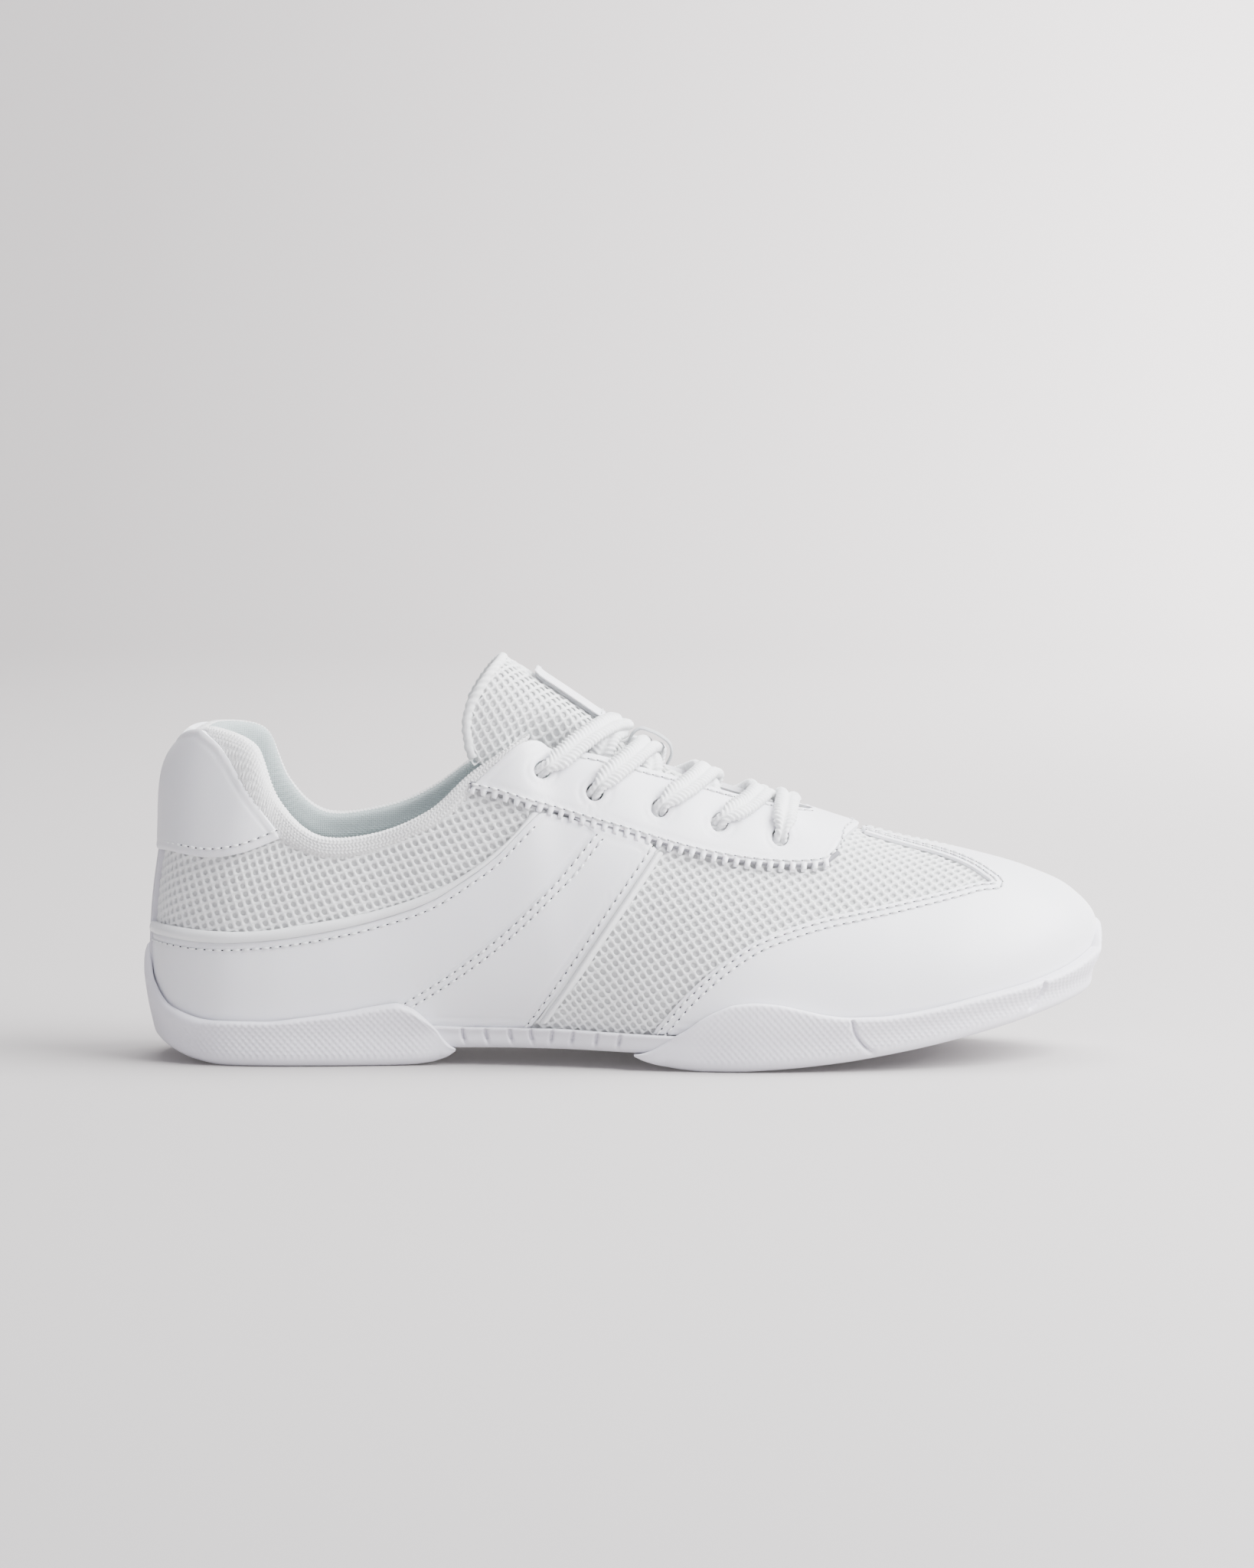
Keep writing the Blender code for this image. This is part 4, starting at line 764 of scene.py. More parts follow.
class Seams:
    """Collects the stitches and needle holes of one group of seams."""

    def __init__(self, name, pitch=STITCH_PITCH, thick=THREAD_RADIUS):
        self.name, self.pitch, self.thick = name, pitch, thick
        self.points, self.faces, self.holes, self.pits = [], [], [], []
        self.count = self.hole_count = 0

    def sew(self, flat, mapping, height):
        """Stitches along a pattern line."""
        line = resample(flat, 1.0)
        s, t = mapping(line)
        self.sew_line(last_point(s, t) + last_normal(s, t) * height, last_normal(s, t))

    def sew_pair(self, flat, mapping, height):
        """The same seam on both sides of the shoe."""
        flip = other_side if mapping is round_map else mirrored
        self.sew(flat, mapping, height)
        self.sew(flip(flat), mapping, height)

    def sew_line(self, path, normals):
        """Stitches along a line in space: each dips into a needle hole at both ends."""
        run = run_along(path)
        number = max(1, int(round(run[-1] / self.pitch)))
        pitch = run[-1] / number
        at = (np.arange(number)[:, None] + STITCH_SHARE) * pitch
        centre = read_along(at, run, path)
        n = unit(read_along(at, run, normals))
        across = np.cross(n, unit(centre[:, -1:] - centre[:, :1]))
        radius = self.thick * STITCH_FULLNESS
        centre = centre + n * STITCH_LIFT[None, :, None]
        rings = [centre + (across * math.cos(a) + n * math.sin(a)) * radius[None, :, None]
                 for a in np.arange(6) * math.pi / 3]
        points = np.stack(rings, axis=2).reshape(-1, 3)
        first = self.count + np.arange(number) * 30
        for r in range(4):
            for k in range(6):
                j = (k + 1) % 6
                quad = np.array([r * 6 + k, r * 6 + j, r * 6 + 6 + j, r * 6 + 6 + k])
                self.faces += (first[:, None] + quad).tolist()
        self.faces += (first[:, None] + np.arange(6)[::-1]).tolist()
        self.faces += (first[:, None] + np.arange(24, 30)).tolist()
        self.points.append(points)
        self.count += len(points)
        self.pierce(path, normals, run, pitch, number)

    def pierce(self, path, normals, run, pitch, number):
        """A small near-black oval at each needle hole: painted shade inside the shallow hole."""
        at = np.arange(number + 1) * pitch
        centre, n = read_along(at, run, path), read_along(at, run, normals)
        along = unit(read_along(at + 0.3, run, path) - read_along(at - 0.3, run, path))
        across = np.cross(n, along)
        long, wide = NEEDLE_HOLE
        ring = [centre + along * long * math.cos(a) + across * wide * math.sin(a) + n * 0.05
                for a in np.arange(6) * math.pi / 3]
        points = np.stack(ring + [centre - n * 0.25], axis=1).reshape(-1, 3)
        first = self.hole_count + np.arange(number + 1) * 7
        for k in range(6):
            self.pits += (first[:, None] + np.array([k, (k + 1) % 6, 6])).tolist()
        self.pits += (first[:, None] + np.arange(6)).tolist()
        self.holes.append(points)
        self.hole_count += len(points)

    def finish(self, body="shoe"):
        new_piece(self.name + "_stitching", np.concatenate(self.points), self.faces, THREAD,
                  "white_cord", body)
        new_piece(self.name + "_needle_holes", np.concatenate(self.holes), self.pits, SHADOW,
                  "grey_plastic", body)


def ribbon(name, left, right, mapping, profile, look, slot, spacing=1.2, sharp=50):
    """A moulded strip between two pattern lines, with a cross-section of (share, height)."""
    left, right = np.asarray(left), np.asarray(right)
    count = max(8, int(np.linalg.norm(np.diff(place(mapping, left), axis=0), axis=1).sum()
                       / spacing))
    left, right = evenly(left, count), evenly(right, count)
    share = np.array([p[0] for p in profile])
    high = np.array([p[1] for p in profile])
    flat = left[:, None] * (1 - share)[None, :, None] + right[:, None] * share[None, :, None]
    s, t = mapping(flat.reshape(-1, 2))
    points = last_point(s, t) + last_normal(s, t) * np.tile(high, count)[:, None]
    return new_piece(name, points, tube_faces(count, len(profile)), look, slot, sharp=sharp)


def evenly(run, count):
    """The run at a fixed number of even steps."""
    chord = run_along(run)
    return smooth_curve(chord, run, np.linspace(0, chord[-1], count))


def tube_faces(rings, n):
    """Faces of a closed tube through rings of n points, capped at both ends."""
    faces = [list(range(n))[::-1], [(rings - 1) * n + i for i in range(n)]]
    for r in range(rings - 1):
        for i in range(n):
            j = (i + 1) % n
            faces.append([r * n + i, r * n + j, (r + 1) * n + j, (r + 1) * n + i])
    return faces


def face_out(ob):
    """Turns a closed piece's faces outwards."""
    bm = bmesh.new()
    bm.from_mesh(ob.data)
    bmesh.ops.recalc_face_normals(bm, faces=bm.faces)
    if bm.calc_volume(signed=True) < 0:
        bmesh.ops.reverse_faces(bm, faces=bm.faces)
    bm.to_mesh(ob.data)
    bm.free()
    return ob


# --- open air mesh: a lattice of rounded holes over a plain backing


class Cloth:
    """Arc-length coordinates of one side of the last: u from the heel, v from the feather."""

    def __init__(self, side, rows=280, cols=80):
        self.side, self.t = side, np.linspace(0, 1, cols)
        self.s = np.linspace(0, 0.97, rows)
        s, t = np.meshgrid(self.s * side, self.t, indexing="ij")
        p = last_point(s.ravel(), t.ravel()).reshape(rows, cols, 3)
        step = np.linalg.norm(np.diff(p, axis=1), axis=2)
        self.v = np.c_[np.zeros(rows), np.cumsum(step, axis=1)]
        middle = p[:, int(cols * 0.42)]
        self.u = run_along(middle)

    def pattern(self, u, v):
        """(|s|, t) of cloth coordinates."""
        s = np.interp(u, self.u, self.s)
        k = np.clip(np.searchsorted(self.u, u) - 1, 0, len(self.u) - 2)
        f = (u - self.u[k]) / (self.u[k + 1] - self.u[k])
        t = np.zeros(len(u))
        for j in np.unique(k):
            m = k == j
            t[m] = (np.interp(v[m], self.v[j], self.t) * (1 - f[m])
                    + np.interp(v[m], self.v[j + 1], self.t) * f[m])
        return s, t

    def locate(self, u, v, height):
        s, t = self.pattern(u, v)
        return last_point(s * self.side, t) + last_normal(s * self.side, t) * height[:, None]

    def within(self, loop, over):
        """A test for which cloth places lie inside a pattern outline."""
        def test(u, v):
            s, t = self.pattern(u, v)
            if over:
                return in_loop(loop, s * SPAN, -(1 - t) * GIRTH)
            return in_loop(loop, -s * SPAN, t * GIRTH)
        return test


MESH_PITCH = 2.42
MESH_DEPTH = 0.7
CORNERS = ((1, 0), (1, 1), (0, 1), (-1, 1), (-1, 0), (-1, -1), (0, -1), (1, -1))


def air_mesh(name, locate, keep, reach, tilt, hole=0.93, depth=MESH_DEPTH, body="shoe"):
    """Webs round a lattice of holes: crowned between the holes, with a wall down each one."""
    a = MESH_PITCH * np.array([math.cos(tilt), math.sin(tilt)])
    lean = tilt + math.radians(-83)
    b = MESH_PITCH * np.array([math.cos(lean), math.sin(lean)])
    span = int(max(reach) / MESH_PITCH * 1.5) + 2
    i, j = (g.ravel() for g in np.meshgrid(np.arange(-span, span), np.arange(-span, span)))
    centre = np.array(reach) / 2 + i[:, None] * a + j[:, None] * b
    inside = ((centre > 0) & (centre < np.array(reach))).all(axis=1)
    i, j, centre = i[inside], j[inside], centre[inside]
    kept = keep(centre[:, 0], centre[:, 1])
    i, j, centre = i[kept], j[kept], centre[kept]
    ring = [(2 * i + p, 2 * j + q) for p, q in CORNERS]
    keys = np.stack([np.stack(r, axis=1) for r in ring], axis=1).reshape(-1, 2)
    unique, index = np.unique(keys, axis=0, return_inverse=True)
    index = index.reshape(-1, 8)
    rim_uv = np.array(reach) / 2 + unique[:, :1] * a / 2 + unique[:, 1:] * b / 2
    at_corner = (abs(unique) % 2).sum(axis=1) == 2
    rim_height = np.where(at_corner, 0.14, 0.0)
    turn = [(p * hole / math.hypot(p, q), q * hole / math.hypot(p, q)) for p, q in CORNERS]
    inner = [centre + p * a / MESH_PITCH + q * b / MESH_PITCH for p, q in turn]
    lower = [centre + (p * a / MESH_PITCH + q * b / MESH_PITCH) * 0.94 for p, q in turn]
    inner = np.stack(inner, axis=1).reshape(-1, 2)
    lower = np.stack(lower, axis=1).reshape(-1, 2)
    uv = np.vstack([rim_uv, inner, lower])
    height = np.r_[rim_height, np.full(len(inner), -0.2), np.full(len(lower), -depth)]
    points = locate(uv[:, 0], uv[:, 1], height)
    first = len(rim_uv) + np.arange(len(centre)) * 8
    deep = first + len(inner)
    faces = []
    for k in range(8):
        m = (k + 1) % 8
        faces.append(np.c_[index[:, k], index[:, m], first + m, first + k])
        faces.append(np.c_[first + k, first + m, deep + m, deep + k])
    new_piece(name, points, np.vstack(faces).tolist(), AIR_MESH, "white_mesh", body)


def in_loop(loop, x, y):
    """Which of many points lie inside a closed pattern outline."""
    inside = np.zeros(len(x), bool)
    for (x0, y0), (x1, y1) in zip(loop, np.roll(loop, -1, axis=0)):
        if y0 != y1:
            crosses = (y0 > y) != (y1 > y)
            inside ^= crosses & (x < x0 + (x1 - x0) * (y - y0) / (y1 - y0))
    return inside


# --- the upper

PINK_PITCH = 3.1
PINK_TOOTH = ((0.0, -0.75), (0.1, 0.65), (0.45, 0.75), (0.55, -0.75))
HOLE_RADIUS = 2.45
EYESTAY_TOP = 1.85
FINE = 1.6


def pinked(edge):
    """A side-view edge cut into teeth that point away from the panel."""
    line = resample(edge, 0.25)
    chord = run_along(line)
    teeth = int(chord[-1] / PINK_PITCH)
    at = [(k + share) * PINK_PITCH for k in range(teeth) for share, _ in PINK_TOOTH]
    reach = [depth for _ in range(teeth) for _, depth in PINK_TOOTH]
    x, z = (np.interp(at, chord, line[:, k]) for k in (0, 1))
    run = unit(np.gradient(np.c_[x, z], axis=0))
    down = np.c_[run[:, 1], -run[:, 0]]
    return np.c_[x, z] + down * np.array(reach)[:, None]


def hole_rings(radius, indices):
    """Rings round the lateral eyelets, as side-view points."""
    rings = []
    for k in indices:
        x, z = EYELETS[k]
        rings.append([(x + radius * math.cos(a), z + radius * math.sin(a))
                      for a in np.arange(16) * math.pi / 8])
    return rings


def eyelet_dents():
    """Places where the lace pulls the eyestay in, with depth and radius."""
    dents = []
    for x, z in EYELETS:
        s, t = SIDE_VIEW.find([(x, z)])
        for side in (-1, 1):
            dents.append((last_point(abs(s) * side, t)[0], 0.35, 5.5))
    return dents


def make_eyestay():
    """U-shaped eyestay: pinked lower edge, stitches above it and along the throat."""
    edge = seen_from_side(pinked(EYESTAY_EDGE), over=True)
    nose = over_top(EYESTAY_NOSE, FINE)
    rear = over_side(((-42.6, 75.0), (-41.6, 76.2), (-36.6, 80.8), (-30.6, 86.4)), FINE)
    corner = over_top([(-25, -21.6)] + list(THROAT), FINE)
    turn = rounded(corner[::-1], rear[::-1], 5.5)
    half = list(turn) + list(edge) + list(nose)
    loop = join_loop([ridge_mark(THROAT_FRONT)], half, [ridge_mark(EYESTAY_FRONT)],
                     mirrored(np.array(half))[::-1])
    holes = [seen_from_side(ring, over=True) for ring in hole_rings(HOLE_RADIUS, range(5))]
    loops = [loop] + [h for ring in holes for h in (ring, mirrored(ring))]
    piece = fine_panel("eyestay_leather", loops, over_map, LEATHER, "white_leather",
                       EYESTAY_TOP, seams=(2.0,), dents=eyelet_dents())
    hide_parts("eyestay")
    plain = over_side(EYESTAY_EDGE, FINE)
    threads = Seams("eyestay")
    low = inset(plain, over_map, 1.7, loop)
    front = inset(np.vstack([plain[-4:], nose, [ridge_mark(EYESTAY_FRONT)]]), over_map, 1.7,
                  loop)
    throat = inset(corner[6:], over_map, 2.0, loop)
    for run in (low[:-2], throat):
        threads.sew_pair(run, over_map, EYESTAY_TOP)
    threads.sew(np.vstack([front, mirrored(front)[::-1]]), over_map, EYESTAY_TOP)
    threads.finish()
    # Dark strip under the teeth: painted shade in the notches.
    make_notch_shade_strip(plain, loop)


def make_notch_shade_strip(plain, loop):
    """Dark grey strip under the pinked edge: painted shade that shows in the notches between the
    teeth.
    """
    inner = inset(plain, over_map, 2.6, loop)
    outer = 2 * plain - inset(plain, over_map, 0.55, loop)
    profile = ((0, 0.35), (0.02, 1.4), (0.98, 1.4), (1, 0.35))
    for name, flip in two_sides(mirrored):
        face_out(ribbon("eyestay_notch_shade_" + name, flip(inner), flip(outer), over_map, profile,
                        NOTCH_SHADE, "grey_webbing"))


def rounded(first, second, reach):
    """Two pattern runs joined with a round corner that starts a reach before the joint."""
    tip = (first[-1] + second[0]) / 2
    a = first[np.linalg.norm(first - tip, axis=1) > reach]
    b = second[np.linalg.norm(second - tip, axis=1) > reach]
    ahead, back = a[-1] - a[-3], b[0] - b[2]
    p = a[-1] + ahead / np.linalg.norm(ahead) * reach * 1.1
    q = b[0] + back / np.linalg.norm(back) * reach * 1.1
    f = np.linspace(0, 1, 17)[1:-1, None]
    g = 1 - f
    curve = a[-1] * g ** 3 + 3 * p * g * g * f + 3 * q * g * f * f + b[0] * f ** 3
    return np.vstack([a, curve, b])


def make_toe_overlay():
    """Toe cap with wings and the centre strip, double stitched along its edge."""
    edge = rounded(over_side(WING_EDGE, FINE), over_top(WING_TIP, FINE), 6.5)
    start, end = abs(SIDE_VIEW.find([WING_EDGE[0]])[0][0]), 0.985
    foot = np.array([(s * SPAN, -(1 - FOOT) * GIRTH) for s in np.linspace(end, start, 90)])
    half = list(foot) + list(edge)
    loop = join_loop(half, [ridge_mark(EYESTAY_FRONT + 1.0)], mirrored(np.array(half))[::-1])
    piece = fine_panel("toe_overlay_leather", [loop], over_map, LEATHER, "white_leather",
                       seams=(1.2, 3.1))
    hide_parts("toe_overlay")
    threads = Seams("toe_overlay")
    for reach in (1.2, 3.1):
        threads.sew_pair(inset(edge, over_map, reach, loop), over_map, TOP)
    threads.finish()


def side_pieces(name, loop, seams, top):
    """A leather panel on each side of the shoe, in place of its CAD node."""
    for side, flip in two_sides(other_side):
        node = name + "_" + side
        piece = fine_panel(node + "_leather", [flip(loop)], round_map, LEATHER,
                           "white_leather", top, seams=seams, unevenness=0.2)
        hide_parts(node)


BACKSTAY_HALF = 5.4


def from_backstay(run):
    """The run, led on at its own height to the edge of the backstay strip."""
    return np.vstack([np.linspace((-BACKSTAY_HALF, run[0][1]), run[0], 12)[:-1], run])


def make_side_overlays():
    """Stripe panel and rear overlay with their seams, and the moulded trims."""
    rear = round_side(STRIPE_REAR, FINE)
    top = round_side(lowered(EYESTAY_EDGE[3:6], -0.6), FINE)
    front = round_side(STRIPE_FRONT, FINE)
    foot = foot_run(-26.5, -71)
    stripe = join_loop(rear, top[:-1], front[::-1], foot)
    side_pieces("stripe", stripe, (1.1, 3.0), TOP)
    upper = round_side(OVERLAY_TOP[1:], FINE)
    start = np.array([(-0.004 * SPAN, upper[0][1])])
    meet = round_side([(x + 1.5, z) for x, z in STRIPE_REAR], FINE)
    lid = round_side([(-21.4, 69.6), (-8.9, 66.0)], FINE)
    foot = row(-0.004, meet[0][0] / SPAN, FOOT, FINE)
    overlay = join_loop(start, upper, lid, meet[::-1], foot[::-1])
    side_pieces("heel_overlay", overlay, (1.8,), OVERLAY_TOP_HEIGHT)
    threads = Seams("side")
    for edge, reach in ((rear, 1.1), (rear, 3.0), (front, 1.2)):
        threads.sew_pair(inset(edge, round_map, reach, stripe), round_map, TOP)
    low_seam = inset(from_backstay(upper)[:-2], round_map, 1.8, overlay)
    threads.sew_pair(low_seam, round_map, OVERLAY_TOP_HEIGHT)
    threads.finish()
    make_trims()


def make_trims():
    """Half-round strip along the rear overlay, and the flat strip with its piping."""
    round_bar = ((0.0, 0.1), (0.0, 0.9), (0.1, 1.5), (0.3, 1.85), (0.5, 1.95), (0.7, 1.85),
                 (0.9, 1.45), (1.0, 0.8), (1.0, 0.1))
    low = round_side([(x, z + 0.1) for x, z in OVERLAY_TOP[1:]], FINE)
    high = round_side(TRIM_TOP[1:], FINE)
    low, high = (from_backstay(run[run[:, 0] < -7.5]) for run in (low, high))
    piped = ((0.0, 0.1), (0.0, 0.95), (0.2, 1.0), (0.25, 0.85), (0.3, 1.5), (0.4, 2.1),
             (0.55, 2.4), (0.7, 2.35), (0.85, 1.9), (0.95, 1.2), (1.0, 0.1))
    left, right = round_side(TRIM_BACK, FINE), round_side(TRIM_FRONT, FINE)
    for side, flip in two_sides(other_side):
        bar = face_out(ribbon("trim_rear_bar_" + side, flip(low), flip(high), round_map,
                              round_bar, TRIM_PLASTIC, "white_plastic"))
        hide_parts("trim_rear_" + side)
        strip = face_out(ribbon("trim_front_strip_" + side, flip(left), flip(right), round_map,
                                piped, TRIM_PLASTIC, "white_plastic"))
        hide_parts("trim_front_" + side)


def make_heel():
    """Heel tab with its seam, full over the padding, and the strip over the heel seam."""
    lower = round_side(HEEL_TAB_LOWER, FINE)
    front = round_side(HEEL_TAB_FRONT, FINE)
    crown = row(front[-1][0] / SPAN, -0.005, 0.985, FINE)
    half = np.vstack([lower, front, crown])
    tab = join_loop(half, other_side(half)[::-1])
    full = [(last_point(0, t)[0], -depth, radius)
            for t, depth, radius in ((1.0, -1.7, 6.0), (0.92, 2.0, 14.0), (0.80, 1.9, 14.0))]
    piece = fine_panel("heel_tab_leather", [tab], round_map, LEATHER, "white_leather",
                       seams=(2.2,), top=TOP + 0.5, dents=full)
    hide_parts("heel_tab")
    threads = Seams("heel_tab")
    run = inset(lower, round_map, 2.2, tab)
    threads.sew(np.vstack([run[::-1], other_side(run)]), round_map, TOP + 0.5)
    threads.finish()
    share = np.linspace(0.2, 0.62, 50)
    left = np.c_[np.full(50, -BACKSTAY_HALF), share * GIRTH]
    profile = ((0, -0.6), (0.0, 1.2), (0.06, 1.55), (0.12, 1.6), (0.15, 1.4), (0.5, 1.45),
               (0.85, 1.4), (0.88, 1.6), (0.94, 1.55), (1.0, 1.2), (1, -0.6))
    strip = face_out(ribbon("heel_backstay_strip", left, other_side(left), round_map, profile,
                            BACKSTAY_GREY, "grey_plastic"))
    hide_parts("heel_backstay")


def make_base_cloth():
    """Plain backing under the air mesh, and the linings inside."""
    seam = over_side(BASE_SEAM, 4)
    start = abs(SIDE_VIEW.find([BASE_SEAM[0]])[0][0])
    holes = [seen_from_side(ring, over=True)
             for ring in hole_rings(HOLE_RADIUS + 0.2, range(1, 5))]
    holes = [h for ring in holes for h in (ring, mirrored(ring))]
    for name, node, end, back, look, top, under in (
            ("vamp_backing", "vamp_mesh", 0.97, 0.6, BACKING, -MESH_DEPTH, -1.4),
            ("vamp_inner_knit", "vamp_lining", 0.93, 2.8, LINING_KNIT, -3.6, -4.7)):
        top_run = over_top([(x, y - back) for x, y in ((-12, -19),) + THROAT[1:]], 4)
        foot = [(s * SPAN, -(1 - 0.4 * FOOT) * GIRTH) for s in np.linspace(start, end, 70)]
        half = list(top_run[::-1]) + list(seam[::-1]) + foot
        loop = join_loop([ridge_mark(THROAT_FRONT + back)], half, mirrored(np.array(half))[::-1])
        slot = "white_mesh" if node == "vamp_mesh" else "grey_knit"
        piece = fine_panel(name, [loop] + holes, over_map, look, slot, top, under, cell=4,
                           levels=1, unevenness=0.05)
        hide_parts(node)
    make_quarter_cloth()


def make_quarter_cloth():
    seam = round_side(tuple((x + 1.0, z) for x, z in BASE_SEAM), 4)
    lip = seen_from_above([(-14.5, -19.5), (-20, -20.6)]) * np.array([-1.0, 1.0])
    lip[:, 1] = GIRTH + lip[:, 1]
    top = round_side(COLLAR_SEAM, 4)
    low = row(0.0, SIDE_VIEW.find([BASE_SEAM[0]])[0][0] + 0.006, FOOT, 5)
    half = join_loop(low, seam, lip, top[::-1], row(-0.06, 0.0, top[0][1] / GIRTH, 4))
    whole = join_loop(half, other_side(half)[::-1])
    hole = seen_from_side(hole_rings(HOLE_RADIUS + 0.2, [0])[0])
    holes = [hole, other_side(hole)]
    backing = fine_panel("quarter_backing", [whole] + holes, round_map, BACKING, "white_mesh",
                         -MESH_DEPTH, -1.4, cell=4, levels=1, unevenness=0.05)
    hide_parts("quarter_mesh_lateral", "quarter_mesh_medial")
    inner = fine_panel("quarter_inner_knit", [whole] + holes, round_map, LINING_KNIT,
                       "grey_knit", -3.6, -4.7, cell=4, levels=1, unevenness=0.1)
    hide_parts("quarter_lining")


VAMP_TILT = math.radians(30)
QUARTER_TILT = math.radians(19)


def make_air_mesh():
    """The open mesh of the vamp and the quarters, a piece for each side."""
    seam = over_side([(x + 25, z) for x, z in BASE_SEAM], 3)
    top = over_top([(x, y - 1.2) for x, y in THROAT[1:]], 3)
    ridge = np.array([ridge_mark(THROAT_FRONT + 3), ridge_mark(100)]) - np.array([0, 1.0])
    foot = np.array([(s * SPAN, -(1 - 0.6 * FOOT) * GIRTH)
                     for s in np.linspace(abs(seam[0][0]) / SPAN, 0.9, 40)])
    vamp = join_loop(top, ridge, foot[::-1], seam)
    low = round_side(lowered(OVERLAY_TOP[1:], 2.5), 3)
    end = round_side([(-18, 71), (-23, 79), (-27, 84)], 3)
    crest = round_side([(x, z + 0.9) for x, z in COLLAR_SEAM], 3)
    back = row(0.0, -0.05, low[0][1] / GIRTH, 3)
    rise = np.array([[0.0, crest[0][1]]])
    quarter = join_loop(back, low, end, crest[::-1], rise)
    for side, word in ((-1, "lateral"), (1, "medial")):
        cloth = Cloth(side)
        reach = (cloth.u[-1], cloth.v.max())
        air_mesh("vamp_air_mesh_" + word, cloth.locate, cloth.within(vamp, True), reach,
                 VAMP_TILT)
        air_mesh("quarter_air_mesh_" + word, cloth.locate, cloth.within(quarter, False), reach,
                 QUARTER_TILT, hole=0.88)


make_base_cloth()
make_air_mesh()
make_eyestay()
make_toe_overlay()
make_side_overlays()
make_heel()

# --- sole: two tread units and the arch bridge between them

RIM_HEEL = ((-128, 31.0), (-126.8, 22.8), (-122, 15.5), (-112, 12.6), (-98, 12.6), (-89, 13.7),
            (-77, 15.5), (-68, 17.2), (-62.5, 17.9), (-59.5, 17.2), (-57.2, 16), (-54.2, 13.2),
            (-51.7, 10.2), (-49.9, 7.6), (-47.8, 5.6), (-46.2, 4.6))
RIM_FORE = ((3.2, 4.4), (5.5, 4.9), (7.7, 5.7), (11.4, 7.9), (14.4, 10.0), (17.4, 11.9),
            (21, 14.6), (25, 16.8), (30, 18.6), (35, 19), (41, 18.5), (47, 17.3), (54, 15.9),
            (60, 15.3), (68, 15.4), (77, 16.4), (86, 18.2), (94, 20.2), (103, 22.2),
            (112, 24.6), (119, 27.4), (124, 31), (127.5, 36.6))
RIM_BRIDGE = ((-54, 11.4), (-42, 10.9), (-20, 10.9), (0, 10.2), (15, 9.8))
GROUND_HEEL = tuple(p for p in GROUND if p[0] < -100) + ((-66, 0.0), (-58, 0.25), (-53, 0.9),
                                                        (-49, 2.3), (-46.2, 4.2))
GROUND_FORE = ((3.2, 4.0), (6, 2.6), (10, 1.4), (16, 0.4), (22, 0.0)) + tuple(
    p for p in GROUND if p[0] > 25)
GROUND_BRIDGE = ((-54, 4.7), (-20, 5.0), (15, 4.4))
BRIDGE_SLITS = (-44.5, -38.2, -31.6, -25.9, -19.9, -14.2, -7.6, -1.4)
FLEX_GROOVES = (((61.6, 14.3), (62.6, 10.5), (64.8, 7.4), (67.9, 4.9)),
                ((115.1, 24.6), (114.6, 21.4), (113.3, 18.5), (111.0, 15.6)))
COLUMN_STEP = 0.36
WALL_ROWS = 34
MIDDLE_ROW = 16
SMOOTHED_ROWS = (8, 36)
SMOOTHING_PASSES = 60
TREAD_STEPS = 22
TIP_COLUMNS = 24
TIP_RISE = 4.4
DIAMOND_LONG, DIAMOND_TALL, DIAMOND_HEIGHT = 1.9, 2.1, 0.24


class Wall:
    """Places points beside the last: at a height, and a distance out from the upper."""

    def __init__(self, s):
        self.s = s
        self.foot = last_point(s, np.zeros(len(s)))
        e = 0.002
        run = unit((last_point(np.clip(s + e, -1, 1), np.zeros(len(s)))
                    - last_point(np.clip(s - e, -1, 1), np.zeros(len(s))))[:, :2])
        self.out = np.c_[-run[:, 1], run[:, 0], np.zeros(len(s))]
        ts = np.linspace(0, 0.8, 60)
        grid = last_point(np.repeat(s, 60), np.tile(ts, len(s)))
        self.heights, self.ts = grid[:, 2].reshape(len(s), 60), ts

    def at(self, z, reach):
        t = np.array([np.interp(h, row, self.ts) for h, row in zip(z, self.heights)])
        low = z < self.foot[:, 2]
        on = last_point(self.s, t)
        normal = last_normal(self.s, t)
        w = smooth_step(z - self.foot[:, 2], 0, 8)[:, None]
        way = unit(self.out * (1 - w) + normal * w)
        on[low] = self.foot[low]
        points = on + way * reach[:, None]
        points[:, 2] = np.where(low, z, points[:, 2])
        return points


def unit_rows(wall, z0, z1, reach, lip=0.9):
    """Rows of one sole unit, from under the foot, round the corner, up and over the lip."""
    tall = z1 - z0
    corner = np.minimum(3.0, 0.42 * tall)
    bevel = np.clip(1 - abs(wall.s) / 0.13, 0, 1) ** 1.5
    lip = np.minimum(lip, 0.25 * tall)
    thin = lip + (reach - lip - 1.7) * bevel
    lip = lip + 6.5 * bevel
    edge = np.minimum(3.7 - 1.2 * bevel, reach - 0.3)
    rows = [wall.at(z0, edge - corner * 1.15 - 5 * bevel)]
    for a in np.linspace(0.1, 1, 6) * math.pi / 2:
        rows.append(wall.at(z0 + corner * (1 - math.cos(a)) * (1 - 0.1 * bevel),
                            edge - (corner * 1.1 + 3 * bevel) * (1 - math.sin(a))))
    for q in np.linspace(0, 1, WALL_ROWS)[1:]:
        z = z0 + corner + (tall - corner - lip) * q
        rows.append(wall.at(z, edge + (reach - edge) * q))
    for a in np.linspace(0.25, 1, 4) * math.pi / 2:
        rows.append(wall.at(z1 - lip + lip * math.sin(a), reach - thin * (1 - math.cos(a))))
    rows.append(wall.at(z1 - 0.1, np.full(len(z1), 1.5)))
    rows.append(wall.at(np.maximum(z1 - 1.2, z0 + 0.7 * tall), np.full(len(z1), 1.2)))
    hidden = np.minimum(wall.foot[:, 2] - 3.4, z0 + 0.55 * tall)
    rows.append(wall.at(hidden, np.full(len(z1), 0.6)))
    return np.stack(rows, axis=1)


